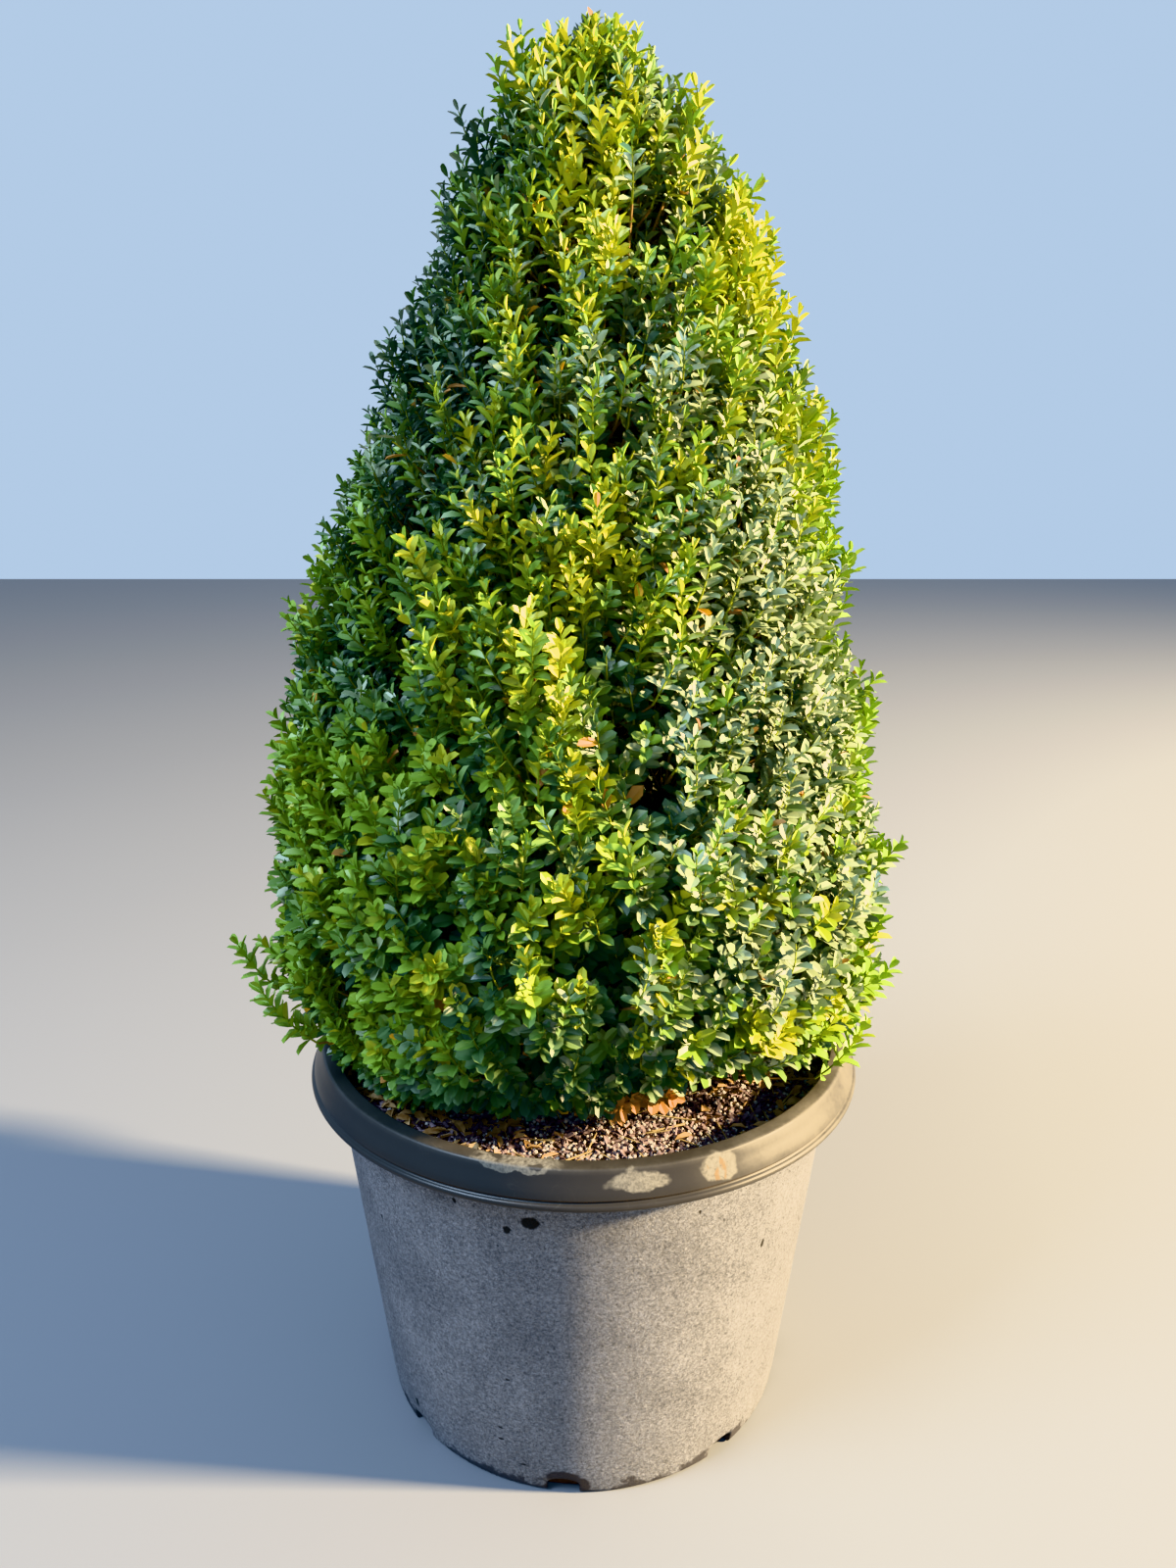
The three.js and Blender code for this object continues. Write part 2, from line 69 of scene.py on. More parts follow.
def addNode(tree, kind, inputs=(), out=0, **settings):
    # adds a node with its settings and inputs and hands back one output; a short kind is a shader node's
    node = tree.nodes.new(kind if "Node" in kind else "ShaderNode" + kind)
    for key, value in settings.items():
        setattr(node, key, value)
    fill(node, inputs)
    return node.outputs[out] if node.outputs else None


def startMaterial(name, values):
    # a material with its plain values set on the shader's own sockets, and what adds nodes to it
    material = bpy.data.materials.new(name)
    material.use_nodes = True
    shader = material.node_tree.nodes["Principled BSDF"]
    fill(shader, values)
    return material, shader, partial(addNode, material.node_tree)


def twoTones(add, place, scale, detail, rough, low, high, dark, light):
    # a noise, and the same noise shown as two tones with a soft border
    tone = add("TexNoise", {"Vector": place, "Scale": scale, "Detail": detail, "Roughness": rough})
    share = add("MapRange", [tone, low, high])
    return tone, add("Mix", {0: share, 6: linear(dark), 7: linear(light)}, **colours)


def startTree(name, sockets):
    # a Geometry Nodes tree with its named inputs, and what adds nodes to it
    tree = bpy.data.node_groups.new(name, "GeometryNodeTree")
    for socket, kind in sockets.items():
        tree.interface.new_socket(socket, in_out="INPUT", socket_type="NodeSocket" + kind)
    tree.interface.new_socket("Result", in_out="OUTPUT", socket_type="NodeSocketGeometry")
    return tree.nodes.new("NodeGroupInput").outputs, partial(addNode, tree)


def endTree(add, shapes, material):
    whole = add("GeometryNodeRealizeInstances", [shapes])
    coloured = add("GeometryNodeSetMaterial", {0: whole, "Material": material})
    add("NodeGroupOutput", [coloured])
    return coloured.id_data


def realized(source, tree, inputs, name):
    # runs a Geometry Nodes tree on an object once and keeps the result as a plain mesh
    modifier = source.modifiers.new("grow", "NODES")
    modifier.node_group = tree
    sockets = {item.name: item.identifier for item in tree.interface.items_tree if item.in_out == "INPUT"}
    for key, value in inputs.items():
        modifier[sockets[key]] = value
    evaluated = source.evaluated_get(bpy.context.evaluated_depsgraph_get())
    mesh = bpy.data.meshes.new_from_object(evaluated)
    source.modifiers.remove(modifier)
    bpy.data.objects.remove(source)
    mesh.name = name
    return newObject(name, mesh)


def lerp(a, b, t):
    return a + (b - a) * t


def clamp(share):
    return min(1, max(0, share))


def around(radius, azimuth, z):
    # a point at an azimuth in degrees, counted from -Y towards +X
    a = math.radians(azimuth)
    return Vector((radius * math.sin(a), -radius * math.cos(a), z))


def azimuthOf(point):
    return math.degrees(math.atan2(point.x, -point.y))


def turnFrom(azimuth, centre):
    return abs((azimuth - centre + 180) % 360 - 180)


def shareAt(azimuth, centre, spread):
    # 1 at an azimuth, falling to 0 on both sides of it
    return max(0.0, 1 - (turnFrom(azimuth, centre) / spread) ** 2)


def patchAt(point, azimuth, wide, z, tall):
    # 1 in the middle of a patch of the face, falling to 0 at half its width and half its height
    return shareAt(azimuthOf(point), azimuth, wide) * max(0.0, 1 - ((point.z - z) / tall) ** 2)


def newObject(name, data):
    piece = bpy.data.objects.new(name, data)
    bpy.context.scene.collection.objects.link(piece)
    return piece


def finishPiece(piece, slot, *nodes):
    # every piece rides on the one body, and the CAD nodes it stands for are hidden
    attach(piece, "root")
    if nodes:
        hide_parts(*nodes)


def meshFrom(name, vertices, faces, smooth=True):
    mesh = bpy.data.meshes.new(name)
    mesh.from_pydata([tuple(v) for v in vertices], [], faces)
    mesh.polygons.foreach_set("use_smooth", [smooth] * len(mesh.polygons))
    mesh.update()
    return mesh


def skin(name, rows, closed=False, turned=False, capped=False):
    # a skin over rings of points, where a ring of one point draws it together; turned for rings that run down
    sides = len(rows[-1]) if len(rows[-1]) > 1 else len(rows[1])
    vertices, rings, faces = [], [], []
    for row in rows:
        rings.append([len(vertices) + k % len(row) for k in range(sides)])
        vertices += row
    if closed:
        rings.append(rings[0])
    for low, high in zip(rings, rings[1:]):
        for k in range(sides):
            n = (k + 1) % sides
            corners = (low[k], high[k], high[n], low[n]) if turned else (low[k], low[n], high[n], high[k])
            faces.append(list(dict.fromkeys(corners)))
    for ring, back in ((rings[0], not turned), (rings[-1], turned)):
        if capped and ring[0] != ring[1]:
            faces.append(ring[::-1] if back else ring)
    return meshFrom(name, vertices, faces)


def lathe(name, profile, sides, closed=False):
    # turns a profile of (radius, height) points round Z
    rows = [[around(r, 360 * k / sides, z) for k in range(sides if r else 1)] for r, z in profile]
    return skin(name, rows, closed)


# camera, at the photograph's place: focal length in mm, place in metres, downward pitch in degrees

view = {"lens": 25.875, "place": (0, -1.240, 1.0752), "pitch": 14.95, "shift": 4.5 / 1600, "clip": 0.02}


def placeCamera():
    data = bpy.data.cameras.new("camera")
    data.lens, data.shift_x, data.clip_start = view["lens"], view["shift"], view["clip"]
    camera = newObject("camera", data)
    camera.location = view["place"]
    camera.rotation_euler = (math.radians(90 - view["pitch"]), 0, 0)
    bpy.context.scene.camera = camera
    print("camera placed")


placeCamera()

# pot: one blow-moulded shell, its rim rolled over and left darker

pot = {
    "height": 0.450, "wall": 0.004, "floor": 0.005, "footRadius": 0.243, "footRound": 0.007,
    "wallTopRadius": 0.2925, "wallTopHeight": 0.411, "rimInnerRadius": 0.290, "rimFlat": 0.0145,
    "skirtRadius": 0.318, "skirtHeight": 0.421, "groove": 0.0022, "beadRadius": 0.3215, "bead": 0.008,
    "notches": 8, "notchWidth": 0.036, "notchHeight": 0.022, "firstNotch": -5.3, "sides": 192,
    "wallSteps": 24, "markDepth": 0.006,
}


def arc(centre, radius, start, end, steps):
    # points on an arc in the plane of radius and height, angles in degrees from the outward direction
    turns = [math.radians(lerp(start, end, i / steps)) for i in range(steps + 1)]
    return [(centre[0] + radius * math.cos(t), centre[1] + radius * math.sin(t)) for t in turns]


def wallRadius(z):
    return lerp(pot["footRadius"], pot["wallTopRadius"], z / pot["wallTopHeight"])


def insideRadius(z):
    return wallRadius(z) - pot["wall"]


def potShellProfile():
    # from the floor's middle out under the foot, up the wall to under the rim and down the inside
    out, bend = pot["footRadius"], pot["footRound"]
    foot = [(0, 0), (out * 0.5, 0)] + arc((out - bend, bend), bend, -90, 0, 6)
    heights = [lerp(bend, pot["wallTopHeight"] - 0.004, i / pot["wallSteps"])
               for i in range(1, pot["wallSteps"] + 1)]
    wall = [(wallRadius(z), z) for z in heights]
    inside = [(r - pot["wall"], max(z, pot["floor"])) for r, z in reversed(foot[-1:] + wall)]
    return foot + wall + inside + [(0, pot["floor"])]


def rimProfile():
    # the rolled rim as a closed section: shoulder, bead, thin groove, slanted face and flat top
    wall, level, bead, top = (pot[key] for key in ("wallTopRadius", "wallTopHeight", "bead", "height"))
    skirt, low, inside = (pot[key] for key in ("skirtRadius", "skirtHeight", "rimInnerRadius"))
    flatEnd, inner = inside + pot["rimFlat"], wall - pot["wall"]
    rim = [(inner, level - 0.006), (wall + 0.0006, level - 0.006), (wall + 0.001, level - 0.001)]
    rim += arc((wall + 0.004, level - 0.001), 0.003, 180, 90, 4)[1:]
    rim += arc((pot["beadRadius"] - bead / 2, level + bead / 2), bead / 2, -80, 70, 8)
    rim += [(skirt - pot["groove"], low - 0.0012)]
    rim += arc((skirt - 0.0015, low + 0.0015), 0.0015, -80, 20, 4)
    rim += [(lerp(skirt, flatEnd + 0.003, t), lerp(low + 0.003, top - 0.004, t)) for t in (0.25, 0.5, 0.75)]
    rim += arc((flatEnd - 0.0005, top - 0.0045), 0.004, 25, 85, 5)
    rim += arc((inside + 0.003, top - 0.0032), 0.003, 95, 185, 5)
    return rim + [(inside - 0.0002, top - 0.012), (inner + 0.0008, level + 0.006)]


def cutNotches(shell):
    # drain notches through the wall at its foot, each with a rounded top
    vertices, faces = [], []
    half, tall, reach, below, steps = pot["notchWidth"] / 2, pot["notchHeight"], 0.03, 0.01, 12
    turns = [math.pi * i / steps for i in range(1, steps)]
    outline = [(-half, -below), (half, -below), (half, tall * 0.6)]
    outline += [(half * math.cos(t), tall * 0.6 + tall * 0.4 * math.sin(t)) for t in turns]
    outline += [(-half, tall * 0.6)]
    n = len(outline)
    for index in range(pot["notches"]):
        out = around(1, pot["firstNotch"] + index * 360 / pot["notches"], 0)
        side = up.cross(out)
        start = len(vertices)
        for depth in (-reach, reach):
            vertices += [out * (pot["footRadius"] + depth) + side * x + up * z for x, z in outline]
        faces.append([start + i for i in range(n)][::-1])
        faces.append([start + n + i for i in range(n)])
        faces += [[start + i, start + (i + 1) % n, start + n + (i + 1) % n, start + n + i] for i in range(n)]
    cutter = newObject("notchCutter", meshFrom("notchCutter", vertices, faces, False))
    cut = shell.modifiers.new("notches", "BOOLEAN")
    cut.operation, cut.solver, cut.object = "DIFFERENCE", "EXACT", cutter
    mesh = bpy.data.meshes.new_from_object(shell.evaluated_get(bpy.context.evaluated_depsgraph_get()))
    shell.modifiers.remove(cut)
    shell.data = mesh
    bpy.data.objects.remove(cutter)


def hairlines(add, place, scale, distortion, width):
    # thin wandering lines where a distorted noise crosses its middle value
    wander = add("TexNoise", {"Vector": place, "Scale": scale, "Detail": 2.0, "Distortion": distortion})
    off = add("Math", [add("Math", [wander, 0.5], **subtract)], operation="ABSOLUTE")
    return add("MapRange", [off, 0.0, width, 1.0, 0.0])


def wandering(add, place, scale, reach):
    # the place pushed about by a noise, so that a mark laid on it has a ragged edge
    wander = add("TexNoise", {"Vector": place, "Scale": scale, "Detail": 3.0}, out="Color")
    centred = add("VectorMath", [wander, (0.5,) * 3], **subtract)
    return add("VectorMath", [centred, (reach,) * 3, place], operation="MULTIPLY_ADD")


def markAt(add, moved, radius, azimuth, z, wide, tall):
    # one round mark on the pot: its azimuth, height, half width and half height
    offset = add("VectorMath", [moved, tuple(around(radius, azimuth, z))], **subtract)
    sized = add("VectorMath", [offset, (1 / wide, 1 / wide, 1 / tall)], **multiply)
    away = add("VectorMath", [sized], out="Value", operation="LENGTH")
    return add("MapRange", [away, 0.8, 1.05, 1.0, 0.0])


def dustyPlastic():
    # blow-moulded polyethylene gone matt and dusty: a felt of fine scratches, flecks, pits and a damp foot
    look = {"body": "#696B71", "dust": "#818389", "fleck": "#2C2B2A", "damp": "#38363A", "rough": 0.85}
    # dark specks where the photograph has them: azimuth, height, half width, half height
    specks = [(-10.5, 0.3737, 0.0100, 0.0080), (-15.4, 0.361, 0.0045, 0.0055),
              (-51.6, 0.0384, 0.003, 0.006), (-20.9, 0.0827, 0.003, 0.0016),
              (-21.1, 0.0661, 0.0036, 0.0016), (-17.8, 0.1568, 0.0023, 0.0014),
              (-15.6, 0.035, 0.0036, 0.0014), (43.4, 0.2898, 0.0026, 0.006), (-52.1, 0.300, 0.0016, 0.003),
              (-26.6, 0.3818, 0.0024, 0.0034), (23.8, 0.3723, 0.0016, 0.0026)]
    # mud washed out over and beside the front notch
    mud = [(-5.3, 0.024, 0.021, 0.010), (-0.8, 0.012, 0.012, 0.014)]
    material, shader, add = startMaterial(
        "weathered blow-moulded polyethylene", {"Specular IOR Level": 0.25})
    place = add("TexCoord", out="Object")
    dust = twoTones(add, place, 10.0, 7.0, 0.65, 0.3, 0.7, look["body"], look["dust"])[1]
    grain = add("TexNoise", {"Vector": place, "Scale": 290.0, "Detail": 4.0, "Roughness": 0.8})
    darkHair = hairlines(add, place, 95.0, 3.0, 0.05)
    paleHair = hairlines(add, place, 120.0, 4.0, 0.045)
    # long faint streaks that run down the wall
    drawn = add("Mapping", {"Vector": place, "Scale": (70.0, 70.0, 5.0)})
    streak = add("TexNoise", {"Vector": drawn, "Scale": 1.0, "Detail": 4.0})
    shade = 1.0
    for pattern in ([grain, 0.3, 0.7, 0.44, 1.56], [streak, 0.3, 0.7, 0.93, 1.06],
                    [darkHair, 0.0, 1.0, 1.0, 0.55], [paleHair, 0.0, 1.0, 1.0, 1.45]):
        shade = add("Math", [shade, add("MapRange", pattern)], **multiply)
    toned = add("Mix", {0: 1.0, 6: dust, 7: shade}, blend_type="MULTIPLY", **colours)
    # pinholes of a millimetre, and a few scuffs of a centimetre
    pin = add("TexVoronoi", {"Vector": place, "Scale": 85.0})
    ragged = add("TexNoise", {"Vector": place, "Scale": 90.0, "Detail": 2.0})
    scuff = add("TexVoronoi", {"Vector": place, "Scale": 9.0})
    scuff = add("Math", [ragged, 0.16, scuff], operation="MULTIPLY_ADD")
    pinned = add("Math", [add("MapRange", [pin, 0.05, 0.13, 1.0, 0.0]),
                          add("MapRange", [ragged, 0.5, 0.6, 0.0, 0.75])], **multiply)
    marks = add("Math", [pinned, add("MapRange", [scuff, 0.100, 0.120, 0.7, 0.0])], **larger)
    moved = wandering(add, place, 160.0, 0.005)
    for speck in specks:
        marks = add("Math", [marks, markAt(add, moved, wallRadius(speck[1]), *speck)], **larger)
    flecked = add("Mix", {0: marks, 6: toned, 7: linear(look["fleck"])}, **colours)
    # damp that wicks up the foot to an uneven line
    height = add("SeparateXYZ", [place], out="Z")
    wick = add("TexNoise", {"Vector": place, "Scale": 20.0, "Detail": 6.0, "Roughness": 0.7})
    line = add("Math", [wick, 0.12, -0.048], operation="MULTIPLY_ADD")
    damp = add("MapRange", [add("Math", [line, height], **subtract), -0.003, 0.005, 0.0, 0.9])
    for splash in mud:
        damp = add("Math", [damp, markAt(add, moved, pot["footRadius"] + 0.002, *splash)], **larger)
    relief = add("Math", [add("Math", [grain, paleHair], operation="ADD"), marks], **subtract)
    fill(shader, {"Base Color": add("Mix", {0: damp, 6: flecked, 7: linear(look["damp"])}, **colours),
                  "Roughness": add("MapRange", [damp, 0.0, 1.0, look["rough"], 0.5]),
                  "Normal": add("Bump", {"Height": relief, "Strength": 0.7, "Distance": 0.001})})
    return material


def satinRimPlastic():
    # the same polyethylene left smooth and black: satin, with a pale film that is fine dust and painted sheen
    # on the sun side and the top flat, dried water marks, a painted highlight along the top front edge and
    # grit in the groove
    look = {"black": "#2E2D2D", "paleDustSheen": "#64625C", "mark": "#7A7870", "rust": "#8A6A3E", "grit": "#5E452B",
            "rough": 0.32}
    # dried marks, the third a thin pale line along the top front edge that is a painted highlight, and the
    # rusty run in the second one: azimuth, height, half width, half height
    rimMarks = [(10, 0.438, 0.034, 0.009), (25, 0.437, 0.022, 0.013), (-13, 0.447, 0.045, 0.004)]
    rustyRun = (24, 0.436, 0.012, 0.015)
    face = pot["skirtRadius"] - pot["markDepth"]
    material, shader, add = startMaterial("satin black polyethylene rim", {"Specular IOR Level": 0.45})
    place = add("TexCoord", out="Object")
    parts = add("SeparateXYZ", [place]).node.outputs
    cloud = add("TexNoise", {"Vector": place, "Scale": 16.0, "Detail": 8.0, "Roughness": 0.68})
    fine = add("TexNoise", {"Vector": place, "Scale": 300.0, "Detail": 3.0, "Roughness": 0.7})
    # painted sheen: the pale film is heavier towards the sun side and on the top flat, where the light falls,
    # as well as being dust
    paintedSunSide = add("MapRange", [parts["X"], 0.10, 0.28, 0.03, 0.70])
    topDustSheen = add("MapRange", [parts["Z"], pot["height"] - 0.006, pot["height"] - 0.001, 0.0, 0.25])
    dustSheenAmount = add("Math", [paintedSunSide, topDustSheen], operation="ADD")
    for pattern in ([cloud, 0.34, 0.66, 0.35, 1.15], [fine, 0.3, 0.7, 0.75, 1.15]):
        dustSheenAmount = add("Math", [dustSheenAmount, add("MapRange", pattern)], **multiply)
    dustSheenCoat = add("Mix", {0: dustSheenAmount, 6: linear(look["black"]), 7: linear(look["paleDustSheen"])}, **colours)
    moved = wandering(add, place, 34.0, 0.03)
    marks = 0.0
    for oneMark in rimMarks:
        marks = add("Math", [markAt(add, moved, face, *oneMark), marks], **larger)
    marks = add("Math", [marks, add("MapRange", [fine, 0.3, 0.65, 0.25, 0.95])], **multiply)
    drawn = add("Mapping", {"Vector": place, "Scale": (150.0, 150.0, 12.0)})
    streak = add("MapRange", [add("TexNoise", {"Vector": drawn, "Scale": 1.0}), 0.5, 0.6, 0.0, 0.8])
    rusty = add("Math", [streak, markAt(add, moved, face, *rustyRun)], **multiply)
    markTone = add("Mix", {0: rusty, 6: linear(look["mark"]), 7: linear(look["rust"])}, **colours)
    marked = add("Mix", {0: marks, 6: dustSheenCoat, 7: markTone}, **colours)
    scratch = add("Math", [hairlines(add, place, 26.0, 1.2, 0.008),
                           add("MapRange", [cloud, 0.5, 0.65, 0.0, 0.25])], **multiply)
    scratched = add("Mix", {0: scratch, 6: marked, 7: linear(look["paleDustSheen"])}, **colours)
    groove = add("Math", [add("Math", [parts["Z"], pot["skirtHeight"], 0.0012], operation="COMPARE"),
                          add("MapRange", [cloud, 0.4, 0.6, 0.1, 0.7])], **multiply)
    dull = add("Math", [add("Math", [dustSheenAmount, scratch], operation="ADD"), marks], **larger)
    wave = add("TexNoise", {"Vector": place, "Scale": 22.0, "Detail": 3.0})
    gritty = add("Mix", {0: groove, 6: scratched, 7: linear(look["grit"])}, **colours)
    fill(shader, {"Base Color": gritty,
                  "Roughness": add("MapRange", [dull, 0.0, 0.8, look["rough"], 0.7]),
                  "Normal": add("Bump", {"Height": wave, "Strength": 0.2, "Distance": 0.002})})
    return material


def makePot():
    shell = newObject("potShell", lathe("potShell", potShellProfile(), pot["sides"]))
    cutNotches(shell)
    rim = newObject("potRim", lathe("potRim", rimProfile(), pot["sides"], closed=True))
    for piece, material in ((shell, dustyPlastic()), (rim, satinRimPlastic())):
        piece.data.materials.append(material)
        finishPiece(piece, "pot", "pot")
    print("pot and rim made")


makePot()

# the growing mix: composted bark with perlite, dead leaves and straw on it

mix = {"crown": 0.430, "edge": 0.416, "trench": 0.009, "trenchWidth": 0.022, "lump": 0.004,
       "lumpsPerMetre": 24, "settled": 0.002, "clear": 0.0006, "rings": 40, "sides": 160}


def mixHeight(r, azimuth):
    # mounded towards the trunk, sunk beside the wall, and lumpy
    edge, width = insideRadius(mix["edge"]), mix["trenchWidth"]
    slope = lerp(mix["crown"], mix["edge"], min(1, r / (edge - width)))
    sunk = max(0, (r - edge + width) / width)
    lumps = noise.fractal(around(r, azimuth, 0) * mix["lumpsPerMetre"], 0.7, 2.1, 4) * mix["lump"]
    return slope - mix["trench"] * min(1, sunk * 1.6) + lumps * min(1, r / 0.06) - mix["settled"]


def mixMesh():
    # the surface alone, for the litter to fall on, and the whole root ball down to the pot's floor
    sides = mix["sides"]
    rim = min(insideRadius(mix["edge"] - mix["trench"]), pot["rimInnerRadius"]) - mix["clear"]
    rows = [[(0, 0, mix["crown"] - mix["settled"])]]
    for i in range(1, mix["rings"] + 1):
        r = rim * i / mix["rings"]
        rows.append([around(r, 360 * k / sides, mixHeight(r, 360 * k / sides)) for k in range(sides)])
    surface = skin("mixSurface", rows, turned=True)
    # fallen leaves gather on the sides and by the wall, perlite shows where the mix was washed bare in front
    shares = {"even": [], "fallen": [], "washed": []}
    for x, y, z in (point for row in rows for point in row):
        azimuth, r = math.degrees(math.atan2(x, -y)), math.hypot(x, y)
        drift = max(shareAt(azimuth, -60, 55), shareAt(azimuth, 82, 40), shareAt(azimuth, 180, 70) * 0.7)
        shares["even"].append(1.0)
        shares["fallen"].append(0.12 + drift * (0.6 + 0.4 * r / rim))
        shares["washed"].append(0.25 + shareAt(azimuth, 2, 42) + 0.5 * shareAt(azimuth, 35, 60))
    for name, values in shares.items():
        surface.attributes.new(name, "FLOAT", "POINT").data.foreach_set("value", values)
    for r, z in ((insideRadius(0.2) - mix["clear"], 0.2), (insideRadius(0.05) - mix["clear"], 0.05),
                 (0.2365, 0.03), (0.2355, 0.0056)):
        rows.append([around(r, 360 * k / sides, z) for k in range(sides)])
    return surface, skin("growingMix", rows, turned=True, capped=True)


def compostedBark():
    # damp composted bark: nearly black between the chips, red-brown where it has dried
    material, shader, add = startMaterial("composted bark", {"Roughness": 0.95, "Specular IOR Level": 0.2})
    place = add("TexCoord", out="Object")
    grit, colour = twoTones(add, place, 160.0, 6.0, 0.7, 0.35, 0.7, "#1C1613", "#4A3529")
    fill(shader, {"Base Color": colour,
                  "Normal": add("Bump", {"Height": grit, "Strength": 0.8, "Distance": 0.003})})
    return material


def mottled(name, dark, light, scale, rough, gloss=0.25, low=0.38, high=0.64):
    # chips, grains, dry leaves and twigs: mottled between two tones at the grain's own size
    material, shader, add = startMaterial(name, {"Roughness": rough, "Specular IOR Level": gloss})
    place = add("TexCoord", out="Object")
    fill(shader, {"Base Color": twoTones(add, place, scale, 3.0, 0.5, low, high, dark, light)[1]})
    return material


def scatterTree():
    # strews copies of a small shape over a surface, each turned and sized at random
    start, add = startTree("strew", {
        "Ground": "Geometry", "Shapes": "Collection", "Where": "String", "Per Square Metre": "Float",
        "Seed": "Int", "Smallest": "Float", "Largest": "Float", "Tilt": "Float", "Lift": "Float",
        "Material": "Material"})
    seed, tilt = start["Seed"], start["Tilt"]
    where = add("GeometryNodeInputNamedAttribute", {"Name": start["Where"]}, data_type="FLOAT")
    density = add("Math", [where, start["Per Square Metre"]], **multiply)
    points = add("GeometryNodeDistributePointsOnFaces",
                 {"Mesh": start["Ground"], "Density": density, "Seed": seed})
    minusTilt = add("Math", [tilt, -1.0], **multiply)
    low = add("CombineXYZ", [minusTilt, minusTilt, -math.pi])
    high = add("CombineXYZ", [tilt, tilt, math.pi])
    turn = add("FunctionNodeRandomValue", {0: low, 1: high, "Seed": seed}, data_type="FLOAT_VECTOR")
    size = add("FunctionNodeRandomValue", {2: start["Smallest"], 3: start["Largest"], "Seed": seed},
               out=1, data_type="FLOAT")
    raised = add("CombineXYZ", {2: start["Lift"]})
    seated = add("GeometryNodeSetPosition", {"Geometry": points, "Offset": raised})
    shapes = add("GeometryNodeCollectionInfo", {"Collection": start["Shapes"]} | eachShape)
    laid = add("GeometryNodeInstanceOnPoints",
               {"Points": seated, "Instance": shapes, "Pick Instance": True,
                "Rotation": add("FunctionNodeEulerToRotation", [turn]), "Scale": size})
    return endTree(add, laid, start["Material"])


def shapeCollection(name, meshes):
    # small shapes kept out of the scene, for Geometry Nodes to copy
    collection = bpy.data.collections.new(name)
    for mesh in meshes:
        collection.objects.link(bpy.data.objects.new(mesh.name, mesh))
    return collection


def chipMesh(name, seed, wide, thick):
    # a splinter of bark 1 unit long: a box with uneven corners
    rng = random.Random(seed)
    corners = [Vector((x, y * wide, z * thick)) * rng.uniform(0.7, 1.15)
               for z in (-0.5, 0.5) for x, y in ((-0.5, -0.5), (0.5, -0.4), (0.45, 0.5), (-0.4, 0.45))]
    faces = [[3, 2, 1, 0], [4, 5, 6, 7], [0, 1, 5, 4], [1, 2, 6, 5], [2, 3, 7, 6], [3, 0, 4, 7]]
    return meshFrom(name, corners, faces, False)


def grainMesh(name, seed):
    # a rounded perlite grain: a ball of 20 faces pushed about
    rng = random.Random(seed)
    grain = bmesh.new()
    bmesh.ops.create_icosphere(grain, subdivisions=1, radius=0.5)
    for vertex in grain.verts:
        vertex.co *= rng.uniform(0.75, 1.1)
    mesh = bpy.data.meshes.new(name)
    grain.to_mesh(mesh)
    grain.free()
    return mesh


def makeRootBall():
    surface, body = mixMesh()
    ground = newObject("growingMix", body)
    ground.data.materials.append(compostedBark())
    tree = scatterTree()
    chips = [chipMesh(f"chip{i}", i, 0.30, 0.15) for i in range(5)]
    crumbs = [chipMesh(f"crumb{i}", 20 + i, 0.6, 0.4) for i in range(4)]
    grains = [grainMesh(f"perlite{i}", i) for i in range(3)]
    stalks = [chipMesh(f"straw{i}", 40 + i, 0.03, 0.03) for i in range(3)]
    dried = [leafMesh("dryLeafCupped", 0.52, 0.9, 2), leafMesh("dryLeafFolded", 0.4, 1.6, 2)]
    # shapes, where they lie, how many in a square metre, smallest and largest in metres, tilt, lift, then
    # the material: its name, dark and light tone, how many blotches in a metre and its roughness
    litter = {
        "barkChips": (chips, "even", 19000, 0.004, 0.015, 0.7, 0.0010,
                      "dried bark chip", "#4C3F43", "#A29298", 110, 0.85),
        "barkCrumbs": (crumbs, "even", 42000, 0.0018, 0.0055, 1.2, 0.0004,
                       "bark crumb", "#40353A", "#85777E", 180, 0.9),
        "perlite": (grains, "washed", 14000, 0.0022, 0.0058, 1.5, 0.0012,
                    "expanded perlite", "#BAB6B0", "#E0DEDA", 400, 0.9),
        "dryLeaves": (dried, "fallen", 7000, 0.015, 0.023, 0.6, 0.0030,
                      "dry fallen leaf", "#8A6C48", "#CBB086", 60, 0.6),
        "straws": (stalks, "even", 900, 0.02, 0.055, 0.25, 0.0030,
                   "weathered straw", "#8C7A58", "#C9B98F", 90, 0.7),
    }
    for seed, (name, (shapes, where, density, low, high, tilt, lift, *finish)) in enumerate(litter.items()):
        inputs = {"Shapes": shapeCollection(name + "Shapes", shapes), "Where": where,
                  "Per Square Metre": float(density), "Seed": seed + 3, "Smallest": low, "Largest": high,
                  "Tilt": tilt, "Lift": lift, "Material": mottled(*finish)}
        piece = realized(newObject(name + "Ground", surface.copy()), tree, inputs, name)
        finishPiece(piece, "root_ball")
        print(name, len(piece.data.polygons), "faces")
    finishPiece(ground, "root_ball", "root_ball")


# leaves: one blade, folded along its midrib and cupped, 1 unit long along +Y, upper face +Z

